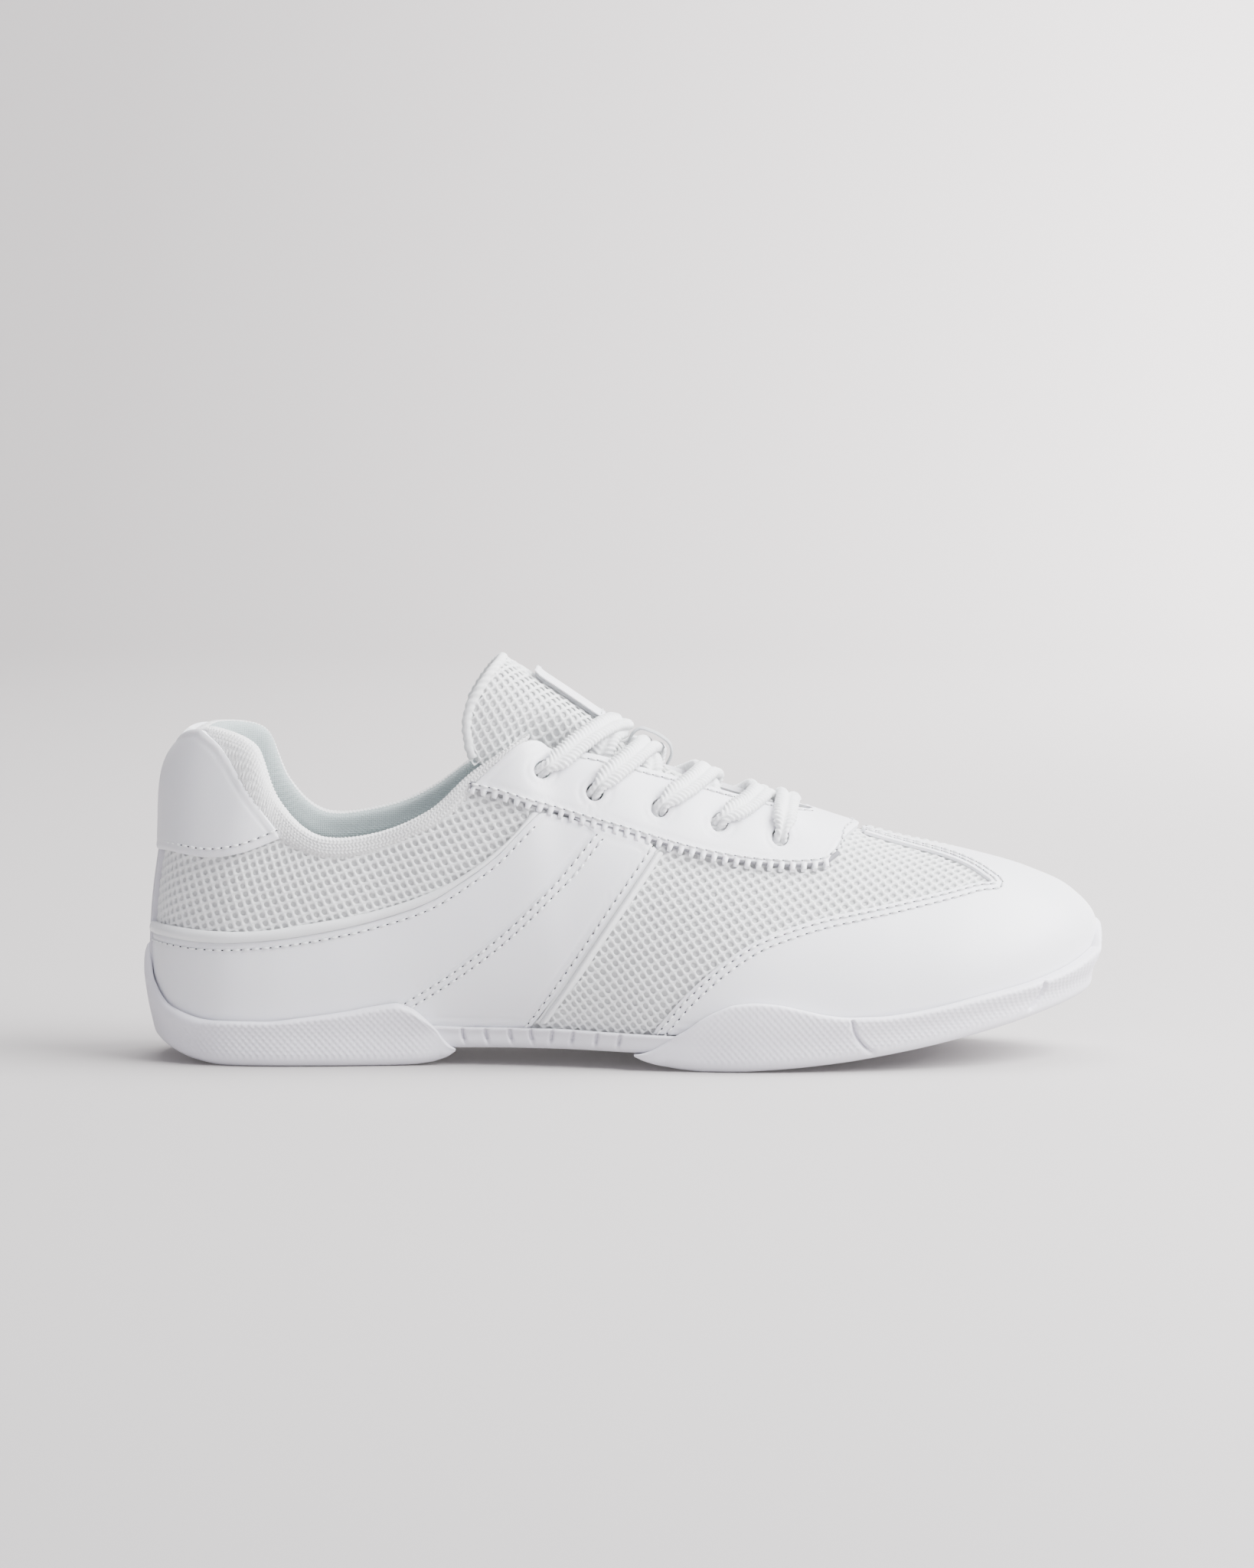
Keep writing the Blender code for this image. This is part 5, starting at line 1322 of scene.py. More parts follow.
def round_toe(grid, half, count):
    """Joins the two halves of a unit with smooth curves across the tip of the toe."""
    left, right = grid[:half], grid[half:]
    chosen = [-40, -22, -10, -1]
    ends = [left[k] for k in chosen] + [right[-k - 1] for k in chosen[::-1]]
    stack = np.array(ends)
    gap = np.linalg.norm(np.diff(stack, axis=0), axis=2).mean(axis=1)
    chord = np.r_[0, np.cumsum(gap)]
    at = np.linspace(chord[3], chord[4], count + 2)[1:-1]
    rows = stack.shape[1]
    middle = smooth_curve(chord, stack.reshape(8, -1), at).reshape(count, rows, 3)
    low, high = middle[:, :1, 2], middle[:, :, 2].max(axis=1)[:, None]
    q = np.clip((middle[..., 2] - low) / (high - low), 0, 1)
    bump = np.sin(math.pi * np.linspace(0, 1, count + 2)[1:-1])[:, None]
    middle[..., 0] -= (1.0 * q + 2.2 * q ** 4) * bump
    middle[..., 2] += TIP_RISE * q ** 1.5 * bump
    return np.concatenate([left, middle, right])


def relief_frame(grid):
    """Distance along the unit, and its outward unit normals."""
    normal = unit(np.cross(np.gradient(grid, axis=1), np.gradient(grid, axis=0)))
    outwards = (normal[:, MIDDLE_ROW, :2] * grid[:, MIDDLE_ROW, :2]).sum()
    return run_along(grid[:, MIDDLE_ROW]), normal if outwards > 0 else -normal


def diamonds(u, z, fade):
    """A fine lattice of raised lines round the diamonds."""
    one = abs((u / DIAMOND_LONG + z / DIAMOND_TALL) % 1 - 0.5) * 2
    two = abs((u / DIAMOND_LONG - z / DIAMOND_TALL) % 1 - 0.5) * 2
    return DIAMOND_HEIGHT * smooth_step(np.maximum(one, two), 0.5, 0.95) * fade


def groove(x, z, line, width, depth):
    """A cut along a side-view line, fading out at its ends."""
    away = np.full(x.shape, 1e9)
    for px, pz in resample(line, 0.3):
        away = np.minimum(away, np.hypot(x - px, z - pz))
    return -depth * np.exp(-(away / width) ** 2)


def tread(grid, depth):
    """Underside between the two first rows, with wavy cross grooves of a depth."""
    pairs = len(grid) // 2
    share = np.linspace(0, 1, TREAD_STEPS + 1)[1:-1]
    a, b = grid[:pairs, 0], grid[::-1][:pairs, 0]
    inner = a[:, None] * (1 - share)[None, :, None] + b[:, None] * share[None, :, None]
    x, y = inner[..., 0], inner[..., 1]
    wave = (x + 2.2 * np.sin(y / 4.5)) / 8.5 % 1
    inner[..., 2] += depth * np.clip((0.13 - abs(wave - 0.5)) / 0.06, 0, 1)
    return inner


def sole_unit(name, s, toe, ground, rim, reach, relief, look, node, groove_depth=0.9):
    """One moulded unit of the sole as a closed mesh."""
    wall = Wall(s)
    x = wall.foot[:, 0]
    grid = unit_rows(wall, graph(ground, x), graph(rim, x), reach(x))
    if toe:
        grid = round_toe(grid, len(s) // 2, TIP_COLUMNS)
    low, high = SMOOTHED_ROWS
    for _ in range(SMOOTHING_PASSES):
        grid[:, low:high] = (grid[:, low - 1:high - 1] + 2 * grid[:, low:high]
                             + grid[:, low + 1:high + 1]) / 4
    run, normal = relief_frame(grid)
    n, rows = grid.shape[:2]
    number = np.arange(rows)
    weight = np.clip(np.minimum((number - 3) / 4, (rows - 5 - number) / 3), 0, 1)
    u = np.repeat(run[:, None], rows, axis=1)
    grid += normal * (relief(u, grid[..., 0], grid[..., 2]) * weight)[..., None]
    inner = tread(grid, groove_depth)
    points = np.vstack([grid.reshape(-1, 3), inner.reshape(-1, 3)])
    index = np.arange(n * rows).reshape(n, rows)
    pairs = n // 2
    middle = n * rows + np.arange(inner.shape[0] * inner.shape[1]).reshape(inner.shape[:2])
    under = np.c_[index[:pairs, 0], middle, index[::-1][:pairs, 0]]
    over = np.c_[index[:pairs, -1], index[::-1][:pairs, -1]]
    faces = []
    for sheet in (index, under, over):
        cells = np.stack([sheet[:-1, :-1], sheet[1:, :-1], sheet[1:, 1:], sheet[:-1, 1:]],
                         axis=-1)
        faces += cells.reshape(-1, 4).tolist()
    faces.append([*index[0], *index[-1][::-1], *under[0][1:-1][::-1]])
    piece = face_out(new_piece(name, points, faces, look, "white_rubber", sharp=60))
    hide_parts(node)


def columns_between(x_from, x_to, side):
    """Even columns of one side between two lengthwise places on the feather line."""
    s = np.linspace(0, 0.955, 4000) * side
    x = last_point(s, np.zeros(4000))[:, 0]
    start, end = (np.interp(v, x, s * side) for v in (x_from, x_to))
    part = np.linspace(start, end, 2000)
    path = last_point(part * side, np.zeros(2000))
    run = run_along(path)
    count = int(run[-1] / COLUMN_STEP)
    return np.interp(np.linspace(0, run[-1], count), run, part) * side


def make_sole():
    lateral = columns_between(-140, -46.4, -1)
    heel = np.r_[lateral[:0:-1], -lateral[1:]]

    def heel_relief(u, x, z):
        fade = smooth_step(x, -131, -116) * (1 - smooth_step(x, -60, -50))
        return diamonds(u, z, fade * smooth_step(z, 1.5, 3.5))

    def heel_reach(x):
        return 4.4 - 0.7 * smooth_step(x, -56, -46) - 1.1 * smooth_step(-x, 116, 128)

    sole_unit("outsole_heel_unit", heel, False, GROUND_HEEL, RIM_HEEL, heel_reach, heel_relief,
              RUBBER, "outsole_heel")
    lateral = columns_between(3.4, 140, -1)
    fore = np.r_[-lateral, lateral[::-1]]

    def fore_relief(u, x, z):
        high = z - graph(GROUND_FORE, x.ravel()).reshape(x.shape)
        fade = smooth_step(x, 14, 30) * smooth_step(high, 1.5, 3.5)
        height = diamonds(u, z, fade)
        for line in FLEX_GROOVES:
            height = height + groove(x, z, line, 0.45, 1.7)
        return height

    def fore_reach(x):
        return 4.4 - 0.7 * (1 - smooth_step(x, 3, 16))

    sole_unit("outsole_forefoot_unit", fore, True, GROUND_FORE, RIM_FORE, fore_reach,
              fore_relief, RUBBER, "outsole_forefoot")
    lateral = columns_between(-53.5, 14.5, -1)
    bridge = np.r_[lateral[::-1], -lateral]

    def slits(u, x, z):
        height = np.zeros(x.shape)
        for at in BRIDGE_SLITS:
            lean = 1.7 if at < -23 else -1.7
            line = [(at + lean * k * k, 10.8 - 6.4 * k) for k in np.linspace(0, 1, 5)]
            height = height + groove(x, z, line, 0.42, 1.5)
        return height

    sole_unit("arch_bridge_unit", bridge, False, GROUND_BRIDGE, RIM_BRIDGE,
              lambda x: np.full(len(x), 3.3), slits, BRIDGE_RUBBER, "arch_bridge", 0.0)


make_sole()

# --- padded collar

COLLAR_RING_STEP = 0.32
KNIT_PITCH = 1.05
CROWN_COLUMN = 36
HIDDEN_FROM = 86


def closed_curves(keys, shares):
    """Closed curves through rows of key points (stack, keys, values), read at the shares."""
    keys = np.concatenate([keys[:, -2:-1], keys, keys[:, 1:2]], axis=1)
    n = keys.shape[1] - 3
    at = np.clip(shares * n, 0, n - 1e-9)
    k = at.astype(int)
    f = (at - k)[None, :, None]
    a, b, c, d = (keys[:, k + j] for j in range(4))
    return 0.5 * (2 * b + (c - a) * f + (2 * a - 5 * b + 4 * c - d) * f ** 2
                  + (3 * b - a - 3 * c + d) * f ** 3)


def seam_share():
    """How far down the last the collar band reaches, as (|s|, t) pairs."""
    s, t = SIDE_VIEW.find(COLLAR_SEAM)
    return np.r_[0, abs(s), 0.405], np.r_[t[0] + 0.01, t, 0.985]


def chevrons(u, v, pitch, wale):
    """Knitted V stitches: wales of loops side by side, leaning in and out by turns."""
    across = (v / wale) % 1
    lean = abs(2 * across - 1)
    loop = 0.5 + 0.5 * np.cos(2 * math.pi * (u / pitch - 0.75 * lean))
    return loop * np.sqrt(abs(np.sin(2 * math.pi * across)) + 0.02)


def make_collar():
    places, share = seam_share()
    even = np.linspace(-COLLAR_END - 0.012, COLLAR_END + 0.012, 3000)
    run = run_along(last_point(even, np.ones(3000)))
    rings = int(run[-1] / COLLAR_RING_STEP)
    u = np.linspace(0, run[-1], rings)
    stops = np.interp(u, run, even)
    t_seam = np.interp(abs(stops), places, share)
    top, seam = last_point(stops, np.ones(rings)), last_point(stops, t_seam)
    high = np.linalg.norm(top - seam, axis=1)
    up = (top - seam) / high[:, None]
    out = last_normal(stops, 0.5 + 0.5 * t_seam)
    h, f = high, 0.12 + 0.88 * smooth_step(COLLAR_END + 0.012 - abs(stops), 0, 0.092)
    full = 0.4 + 0.6 * smooth_step(h, 4, 14)
    keys = [(-0.9, h + 0.9), (0.35, h - 0.1), (1.0 * full + 0.3, 0.72 * h),
            (1.25 * full + 0.2, 0.38 * h), (0.5, 0.1 * h + 0.2), (-0.9 - 0.6 * f, 0.1 - 0.3 * f),
            (-2.9 - 2.1 * f, 0.2 - 0.3 * f), (-4.5 - 3.2 * f, 0.16 * h + 0.9),
            (-5.6 - 3.9 * f, 0.55 * h + 1), (-5.7 - 3.7 * f, h + 2.4 * f),
            (-5.8 - 1.4 * f, h + 6.5 * f), (-5.4, h + 6.8 * f), (-4.6, h + 3 * f),
            (-2.6, h + 1.2)]
    keys.append(keys[0])
    keys = np.stack([np.stack(np.broadcast_arrays(a, b, h)[:2], axis=1) for a, b in keys],
                    axis=1)
    shares = np.r_[np.linspace(0, 10 / 14, HIDDEN_FROM)[:-1], np.linspace(10 / 14, 1, 10)[:-1]]
    section = closed_curves(keys, shares)
    lift = 2.6 * smooth_step(stops, 0.04, 0.14) * (1 - smooth_step(stops, 0.30, 0.385))
    near_top = 1 - np.clip(section[..., 1] / h[:, None], 0, 1)
    section[..., 1] -= lift[:, None] * near_top
    points = top[:, None] + out[:, None] * section[..., :1] - up[:, None] * section[..., 1:]
    normal = unit(np.cross(np.gradient(points, axis=0), np.gradient(points, axis=1)))
    if (normal[:, 20] * out).sum() < 0:
        normal = -normal
    v = np.c_[np.zeros(rings), np.cumsum(np.linalg.norm(np.diff(points, axis=1), axis=2), axis=1)]
    crown = v[:, CROWN_COLUMN:CROWN_COLUMN + 1]
    uu = np.repeat(u[:, None], points.shape[1], axis=1)
    inside = smooth_step(v - crown, 3.0, 5.0)
    rib = chevrons(uu, v - crown + 1.7, KNIT_PITCH, 1.7)
    dots = (np.cos(2 * math.pi * (uu + 0.6 * v) / 1.15)
            + np.cos(2 * math.pi * (uu - 1.1 * v) / 1.3)) * 0.25
    height = 0.5 * rib * (1 - inside) + 0.34 * dots * inside
    height[:, HIDDEN_FROM:] = 0
    wrinkle = ripple(points.reshape(-1, 3), 14.0, 0.25).reshape(height.shape)
    tab_x, tab_z = np.array(HEEL_TAB_FRONT).T
    under_tab = smooth_step(np.interp(points[..., 2], tab_z, tab_x) - points[..., 0], 0.2, 2.2)
    under_tab[:, CROWN_COLUMN + 1:] = 0
    points = points + normal * (height + wrinkle - 1.4 * under_tab)[..., None]
    n = points.shape[1]
    piece = new_piece("collar_padding", points.reshape(-1, 3), tube_faces(rings, n), COLLAR_KNIT,
                      "grey_knit")
    piece.data.materials.append(LINING_KNIT)
    slots = np.r_[0, 0, (v - crown > 3.4)[:-1].ravel()].astype(np.int32)
    piece.data.polygons.foreach_set("material_index", slots)
    face_out(piece)
    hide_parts("collar")


# --- tongue

TONGUE_RIDGE = ((-35.2, 111.6), (-30.5, 109), (-23.6, 104.6), (-14, 98.2), (-4.6, 91.8),
                (7, 85.0), (25, 77.0), (41, 70.0), (47, 67.8))
TONGUE_SECTION = ((0, 0), (4, 0.25), (8, 1.1), (12, 3.2), (15.5, 7.5), (17.6, 13), (18.6, 20),
                  (18.8, 25), (18.6, 29))
TONGUE_TOP_EDGE = ((0, 1.9), (8, 1.5), (14, 0.7), (20, 0.1), (26, 0.0), (30, 1.0), (33, 2.8),
                   (36.5, 6.3), (39.5, 11.3), (44, 18))
TONGUE_THICKNESS = 4.5
TONGUE_TILT = math.radians(-26)
BINDING_RADIUS, BINDING_LAY, BINDING_TWIST = 1.35, 0.14, 1.37
TONGUE_HALF = 39.0


def last_surface():
    """The last as a search tree, over the part in front of the collar."""
    s, t = np.linspace(0.26, 0.93, 180), np.linspace(0.25, 1, 60)
    points, faces = [], []
    for side in (-1, 1):
        base = len(points)
        for a in s:
            points += [tuple(p) for p in last_point(np.full(60, side * a), t)]
        for i in range(len(s) - 1):
            for j in range(59):
                a = base + i * 60 + j
                quad = [a, a + 60, a + 61, a + 1]
                faces.append(quad if side > 0 else quad[::-1])
    return BVHTree.FromPolygons(points, faces)


LAST = last_surface()


def outside(point):
    """Nearest place on the last, its outward normal, and the signed distance."""
    spot, normal, _, _ = LAST.find_nearest(Vector(point))
    centre = Vector((spot.x - 10, 0, spot.z - 40))
    if normal.dot(spot - centre) < 0:
        normal = -normal
    return spot, normal, (Vector(point) - spot).dot(normal)


def throat_half(x):
    table = [(a, -b) for a, b in THROAT] + [(THROAT_FRONT, 0.0)]
    return float(graph([(-40, 24)] + table, x)[0])


def sink(x):
    """How far the tight lace presses the tongue down along its ridge."""
    return 2.8 * smooth_step(x, -7, 6)


def tuck(point):
    """Presses a tongue point in under the linings, leaving it full along the ridge."""
    spot, normal, off = outside(point)
    edge = throat_half(spot.x)
    bare = 1 - smooth_step(abs(point[1]), max(edge - 9, 0.0), edge - 3)
    limit = -8.6 + (8.1 - sink(spot.x) + 14 * smooth_step(-spot.x, 2, 12)) * bare
    on_rim = (Vector(point) - spot).length > abs(off) + 0.4
    if on_rim or off < limit:
        return np.array(point)
    return np.array(spot + normal * limit)


def grid_normals(grid):
    n = unit(np.cross(np.gradient(grid, axis=0), np.gradient(grid, axis=1)))
    return -n if n[:, n.shape[1] // 2, 2].mean() < 0 else n


class TongueSheet:
    """Outer face of the tongue with arc-length coordinates: u down the ridge, v across."""

    def __init__(self, rows=200, half=44):
        line = resample(TONGUE_RIDGE, 0.25)
        run = run_along(line)
        self.u = np.linspace(0, run[-1], rows)
        centre = read_along(self.u, run, line)
        ahead = unit(np.gradient(centre, axis=0))
        arc = evenly(resample(TONGUE_SECTION, 0.25), half)
        grid = []
        for c, d in zip(centre, ahead):
            half_rows = []
            for side in (-1, 1):
                half_rows.append([tuck((c[0] + d[1] * drop, side * y, c[1] - d[0] * drop))
                                  for y, drop in arc])
            grid.append(half_rows[0][::-1] + half_rows[1][1:])
        soft = np.array(grid)
        for turn in range(60):
            soft[1:-1] = (soft[:-2] + 2 * soft[1:-1] + soft[2:]) / 4
            if turn < 12:
                soft[:, 1:-1] = (soft[:, :-2] + 2 * soft[:, 1:-1] + soft[:, 2:]) / 4
        self.points = soft
        self.normals = grid_normals(soft)
        step = np.linalg.norm(np.diff(soft, axis=1), axis=2)
        v = np.c_[np.zeros(rows), np.cumsum(step, axis=1)]
        self.v = v - v[:, half - 1:half]

    def at(self, u, v, height):
        """Points at cloth coordinates and a height over the sheet."""
        k = np.clip(np.searchsorted(self.u, u) - 1, 0, len(self.u) - 2)
        f = (u - self.u[k]) / (self.u[k + 1] - self.u[k])
        spot, normal = np.zeros((len(u), 3)), np.zeros((len(u), 3))
        for j in np.unique(k):
            m = k == j
            for line, weight in ((j, 1 - f[m, None]), (j + 1, f[m, None])):
                spot[m] += weight * read_along(v[m], self.v[line], self.points[line])
                normal[m] += weight * read_along(v[m], self.v[line], self.normals[line])
        return spot + normal * np.asarray(height)[:, None]


SHEET = TongueSheet()


def tongue_edge(v):
    """Where the free end of the tongue is, as u for a place across it."""
    return np.interp(abs(v), *np.array(TONGUE_TOP_EDGE, float).T)


def shell(name, top, under, *look_slot_body, sharp=60):
    """A closed piece between two grids of points, joined along their rims."""
    rows, cols = top.shape[:2]
    index = np.arange(rows * cols).reshape(rows, cols)
    quads = np.stack([index[:-1, :-1], index[:-1, 1:], index[1:, 1:], index[1:, :-1]],
                     axis=-1).reshape(-1, 4)
    size = rows * cols
    rim = np.r_[index[0], index[1:, -1], index[-1, -2::-1], index[-2:0:-1, 0]]
    ahead = np.roll(rim, -1)
    skirt = np.stack([ahead, rim, rim + size, ahead + size], axis=-1)
    faces = quads.tolist() + (quads[:, ::-1] + size).tolist() + skirt.tolist()
    points = np.vstack([top.reshape(-1, 3), under.reshape(-1, 3)])
    return face_out(new_piece(name, points, faces, *look_slot_body, sharp))


def make_tongue():
    """Foam body with rounded rim, its binding, and the air mesh over it."""
    v = np.linspace(-TONGUE_HALF, TONGUE_HALF, 110)
    start = tongue_edge(v)
    share = np.r_[0, 0.004, 0.012, 0.025, np.linspace(0.045, 1, 110)]
    u = start[None, :] + (SHEET.u[-1] - 0.2 - start)[None, :] * share[:, None]
    vv = np.repeat(v[None, :], len(share), axis=0)
    gap = np.minimum(u - start[None, :], TONGUE_HALF - abs(vv))
    gap = np.clip(gap / 2.2, 0, 1)
    lens = np.sqrt(1 - (1 - gap) ** 2)
    half = TONGUE_THICKNESS / 2
    grids = []
    for way in (1, -1):
        height = -half + way * half * lens - (0.75 if way > 0 else 0)
        grids.append(SHEET.at(u.ravel(), vv.ravel(), height.ravel()).reshape(*u.shape, 3))
    foam = shell("tongue_padding", *grids, AIR_MESH, "white_mesh", FOLD, sharp=70)
    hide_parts("tongue_base", "tongue_flap")
    reach = (float(SHEET.u[-1]), 2 * TONGUE_HALF)

    def locate(a, b, height):
        return SHEET.at(a, b - TONGUE_HALF, height)

    def keep(a, b):
        return a > tongue_edge(b - TONGUE_HALF) + 0.8

    air_mesh("tongue_air_mesh", locate, keep, reach, TONGUE_TILT, depth=0.38, body=FOLD)
    across = np.linspace(-TONGUE_HALF + 0.6, TONGUE_HALF - 0.6, 260)
    path = SHEET.at(tongue_edge(across) + 0.3, across, np.full(260, -0.8))
    make_binding(path)


def make_binding(path, sides=14):
    """A round cord with a twisted surface along the tongue's free edge."""
    along = unit(np.gradient(path, axis=0))
    side = np.zeros_like(path)
    last = np.cross(along[0], (0.3, 0.2, 1.0))
    for k, d in enumerate(along):
        last = last - d * (last @ d)
        last = last / np.linalg.norm(last)
        side[k] = last
    up = np.cross(side, along)
    run = run_along(path)
    angle = np.arange(sides) * 2 * math.pi / sides
    twist = angle[None, :] + run[:, None] * BINDING_TWIST
    swell = BINDING_RADIUS + BINDING_LAY * np.cos(2 * twist)
    points = (path[:, None] + side[:, None] * (np.cos(angle) * swell)[..., None]
              + up[:, None] * (np.sin(angle) * swell)[..., None])
    face_out(new_piece("tongue_binding", points.reshape(-1, 3), tube_faces(len(path), sides),
                       AIR_MESH, "white_mesh", FOLD))


# --- label and lace keeper

LABEL_FROM, LABEL_TO, LABEL_HALF = 11.2, 34.2, 6.3


def slab_on_tongue(name, u_from, u_to, half, low, high, look, slot):
    """A thin strip with rounded rims lying over the tongue."""
    us, vs = np.linspace(u_from, u_to, 60), np.linspace(-half, half, 31)
    u, v = (g.ravel() for g in np.meshgrid(us, vs, indexing="ij"))
    gap = np.minimum(np.minimum(u - u_from, u_to - u), half - abs(v))
    lens = np.sqrt(1 - (1 - np.clip(gap / 0.5, 0, 1)) ** 2)
    middle, thick = (low + high) / 2, (high - low) / 2
    curl = 0.5 * np.exp(-((u - u_from) / 1.6) ** 2) + 0.25 * np.exp(-((u_to - u) / 1.4) ** 2)
    skins = [SHEET.at(u, v, middle + way * thick * lens + curl).reshape(60, 31, 3)
             for way in (1, -1)]
    return shell(name, *skins, look, slot, FOLD)


def make_label():
    plate = slab_on_tongue("tongue_label_plate", LABEL_FROM, LABEL_TO, LABEL_HALF, 1.15, 2.1,
                           LEATHER, "white_leather")
    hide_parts("tongue_label")
    # Grey band under the white plate: painted shade for the shaded side of the folded label.
    slab_on_tongue("tongue_label_painted_shade", LABEL_FROM + 0.5, LABEL_TO - 0.3, LABEL_HALF - 0.6, 0.1,
                   1.2, WEBBING_AND_LABEL_SHADE, "grey_webbing")
    seams = Seams("tongue_label", pitch=1.8, thick=0.2)
    for u in (LABEL_FROM + 1.2, LABEL_TO - 1.2):
        across = np.linspace(-LABEL_HALF + 0.8, LABEL_HALF - 0.8, 30)
        line = SHEET.at(np.full(30, u), across, np.full(30, 2.25))
        above = SHEET.at(np.full(30, u), across, np.full(30, 3.25)) - line
        seams.sew_line(line, above)
    seams.finish("tongue_top")


def on_last(x, y, off):
    """A point above the instep at a distance out from the last."""
    spot, normal, *_ = LAST.ray_cast(Vector((x, y, 200)), Vector((0, 0, -1)))
    if normal.z < 0:
        normal = -normal
    return np.array(spot + normal * off)


def make_keeper():
    """Woven loop standing on the tongue, which the lace runs through."""
    profile = resample(((1.6, -1.4), (1.6, 1.6), (2.6, 3.5), (5.0, 4.1), (8.6, 3.9), (11.0, 3.0),
                        (12.4, 1.0), (12.6, -2.4)), 0.35)
    along = unit(np.gradient(profile, axis=0))
    out = np.c_[-along[:, 1], along[:, 0]]
    if out[len(out) // 2, 1] < 0:
        out = -out
    widths = np.linspace(-2.3, 2.3, 15)
    rings = []
    for k, (p, n) in enumerate(zip(profile, out)):
        weave = 0.07 * np.cos(math.pi * np.arange(15) + math.pi * (k % 2))
        edge = np.sqrt(np.clip(1 - (abs(widths) / 2.35) ** 6, 0, 1)) * 0.42
        upper = [on_last(p[0], w, p[1]) for w in widths]
        lift = np.array([n[0], 0, n[1]])
        rings.append([q + lift * (e + b) for q, e, b in zip(upper, edge, weave)]
                     + [q - lift * e for q, e in zip(upper[::-1], edge[::-1])])
    piece = face_out(new_piece("lace_keeper_webbing", np.array(rings).reshape(-1, 3),
                               tube_faces(len(rings), 30), WEBBING_AND_LABEL_SHADE, "grey_webbing", sharp=60))
    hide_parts("lace_keeper")


# --- lace: one two-lobed braid through all ten eyelets

RIDGE_CROSSINGS = (-2.0, 7.0, 23.0, 37.5)
FRONT_BAR_X = 44.5
LACE_OVER = 3.2
LACE_LOW = 1.1
LACE_HIGH = 3.7
LACE_BOW = 3.2
LACE_UNDER = -6.4
TAIL = ((0.385, 0.78), (0.36, 0.64), (0.33, 0.5), (0.30, 0.36), (0.265, 0.27), (0.22, 0.25))
LACE_HALF = 3.15
LACE_STEP = 0.33
BRAID_PITCH = 1.3


def eye(number, side, off):
    """A point on the centre line of an eyelet."""
    s, t = SIDE_VIEW.find([EYELETS[number]])
    s = abs(s) * side
    return (last_point(s, t) + last_normal(s, t) * off)[0]


def through_hole(number, side):
    """From under the lining out through an eyelet."""
    return [eye(number, side, off) for off in (LACE_UNDER + 1.2, -2.4, 1.2)]


def over_and_under(number, side):
    """From eyelet to the ridge on top, then in under the other edge to the next eyelet."""
    start, finish = eye(number, side, 0), eye(number + 1, -side, 0)
    ridge_x = RIDGE_CROSSINGS[number]
    lift = (LACE_HIGH if side < 0 else LACE_LOW) - sink(ridge_x)
    middle = np.array([ridge_x, graph(TOE_SWING, ridge_x)[0]])
    run = middle - start[:2]
    aside = np.array([abs(run[1]), side * run[0]]) / np.linalg.norm(run) * LACE_BOW
    points = []
    for share in (0.12, 0.35, 0.6, 0.82, 1.0):
        x, y = start[:2] + run * share + aside * math.sin(math.pi * share)
        bridged = min(1.0, abs(y - middle[1]) / (throat_half(x) - 1.0))
        points.append(on_last(x, y, lift + (LACE_OVER - lift) * bridged))
    edge = throat_half(ridge_x)
    for reach, off in ((0.22 * edge, lift), (0.5 * edge, lift + 0.2), (edge - 4.2, -2.2),
                       (edge - 1.2, -5.4), (edge + 2.0, LACE_UNDER)):
        share = max(0.0, reach / abs(finish[1] - middle[1]))
        x, y = middle * (1 - share) + finish[:2] * share
        points.append(on_last(x, y, off))
    return points


def tail_points(side):
    return [(last_point(side * s, t) + last_normal(side * s, t) * LACE_UNDER)[0]
            for s, t in TAIL]


def lace_route():
    """The whole lace, from the tail inside the lateral side to the tail in the medial."""
    route = tail_points(-1)[::-1]
    for number, side in ((0, -1), (1, 1), (2, -1), (3, 1)):
        route += through_hole(number, side) + over_and_under(number, side)
    route += through_hole(4, -1)
    bar = [(-1, share) for share in (0.15, 0.45, 0.8)]
    bar += [(1, share) for share in (1.0, 0.8, 0.45, 0.15)]
    for side, share in bar:
        x, y = eye(4, side, 0)[:2] * (1 - share) + np.array([FRONT_BAR_X, 0.4]) * share
        route.append(on_last(x, y, LACE_OVER - 0.9 * share ** 3))
    route += through_hole(4, 1)[::-1]
    for number, side in ((3, -1), (2, 1), (1, -1), (0, 1)):
        route += over_and_under(number, side)[::-1] + through_hole(number, side)[::-1]
    return np.array(route + tail_points(1))


def lace_widths(path):
    """Width directions along the lace: flat to the upper, turning smoothly at the holes."""
    across, last = [], None
    for p, d in zip(path, unit(np.gradient(path, axis=0))):
        flat = np.cross(d, np.array(outside(p)[1]))
        weight = min(1.0, float(flat @ flat))
        last = flat if last is None else last
        flat = -flat if flat @ last < 0 else flat
        kept = last - d * (last @ d)
        kept /= np.linalg.norm(kept)
        mixed = kept * (1 - weight) + flat * weight
        last = mixed / np.linalg.norm(mixed)
        across.append(last)
    return np.array(across)


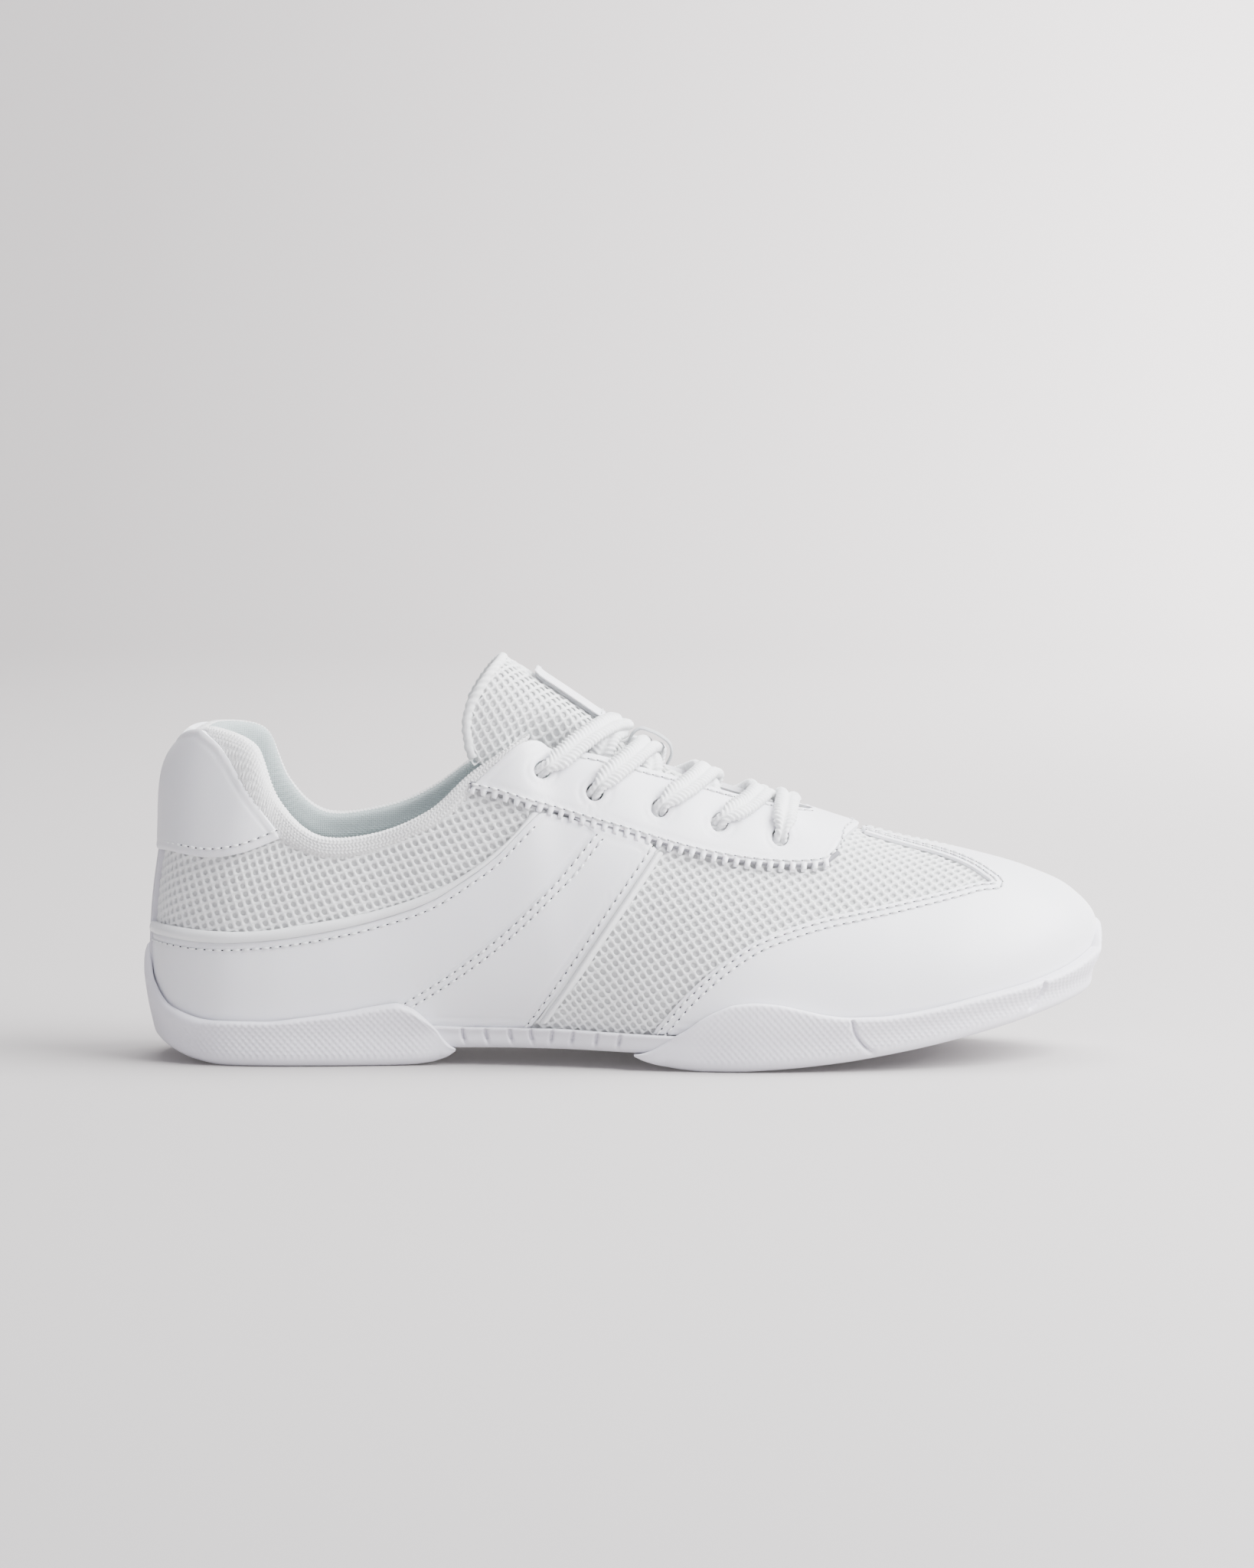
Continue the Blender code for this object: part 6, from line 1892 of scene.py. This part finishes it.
def make_lace():
    coarse = resample(lace_route(), 3.2)
    across = lace_widths(coarse)
    run = run_along(coarse)
    count = int(run[-1] / LACE_STEP)
    u = np.linspace(0, run[-1], count)
    path = smooth_curve(run, coarse, u)
    side = smooth_curve(run, across, u)
    d = unit(np.gradient(path, axis=0))
    side = unit(side - d * (side * d).sum(1)[:, None])
    up = np.cross(side, d)
    holes = np.array([eye(k, s, -2.0) for k in range(5) for s in (-1, 1)])
    apart = np.linalg.norm(holes[None] - path[:, None], axis=2).min(axis=1)
    squeeze = (1 - smooth_step(apart, 4.2, 7.5))[:, None]
    angle = np.linspace(0, 2 * math.pi, 33)[:-1]
    share = np.cos(angle)
    lobe = np.sqrt(np.clip(1 - ((abs(share) - 0.52) / 0.5) ** 2, 0, 1))
    lobe = np.maximum(lobe, 0.25)
    sign = np.where(np.sin(angle) >= 0, 1.0, -1.0)
    wide = LACE_HALF * (1 - squeeze) + 1.75 * squeeze
    thick = 1.25 * (1 - squeeze) + 1.45 * squeeze
    a = wide * share[None, :]
    b = thick * (sign * lobe)[None, :]
    uu = np.repeat(u[:, None], 32, axis=1)
    local = (abs(share) - 0.5)[None, :] * 2
    plait = 0.5 + 0.5 * np.cos(2 * math.pi * (uu / BRAID_PITCH - 0.42 * local * sign[None, :]
                                              + 0.5 * (share < 0)[None, :]))
    puff = 0.5 * (plait - 0.5)
    frizz = ripple(np.c_[uu.ravel() / 0.9, np.tile(angle * 2, count), np.zeros(uu.size)],
                   1.0, 0.12).reshape(uu.shape)
    grow = 1 + (puff + frizz) / 1.3
    points = (path[:, None] + side[:, None] * (a * (1 + (grow - 1) * 0.5))[..., None]
              + up[:, None] * (b * grow)[..., None])
    piece = face_out(new_piece("lace_braid", points.reshape(-1, 3), tube_faces(count, 32),
                               LACE_YARN, "white_cord"))
    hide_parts("lace")


def make_sockliner():
    """Cushioned insole: rounded rim, dished under the heel, with its knit top cloth."""
    half = 320
    s = np.linspace(0, 1, half)
    edges = []
    for side in (-1, 1):
        wall = Wall(s * side)
        bevel = np.clip(1 - s / 0.13, 0, 1) ** 1.5
        edges.append(wall.foot - wall.out * (6.4 + 1.5 * bevel)[:, None])
    share = np.linspace(0, 1, 61)[None, :, None]
    flat = edges[0][:, None] * (1 - share) + edges[1][:, None] * share
    wide = np.linalg.norm(edges[1] - edges[0], axis=1)[:, None]
    gap = np.minimum(share[..., 0], 1 - share[..., 0]) * wide
    lens = np.sqrt(1 - (1 - np.clip(gap / 1.6, 0, 1)) ** 2)
    x = flat[..., 0]
    dish = 0.5 * np.exp(-((x + 98) / 22) ** 2 - (flat[..., 1] / 15) ** 2)
    lift = [1.95 + way * (1.65 - dish * (way > 0)) * lens for way in (1, -1)]
    skins = [flat + np.array([0, 0, 1.0]) * rise[..., None] for rise in lift]
    pad = shell("sockliner_cushion", *skins, LINING_KNIT, "grey_knit", "shoe", sharp=70)
    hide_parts("sockliner")


make_collar()
make_sockliner()
make_tongue()
make_label()
make_keeper()
make_lace()

# --- CAD nodes whose shape is right keep it, with the materials of this scene

KEPT = {"midsole": FOAM, "strobel_board": BOARD, "heel_counter": BOARD, "toe_puff": BOARD,
        "aglet_lateral": CLEAR_TIP, "aglet_medial": CLEAR_TIP}
for name, look in KEPT.items():
    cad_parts[name].material_slots[0].material = look
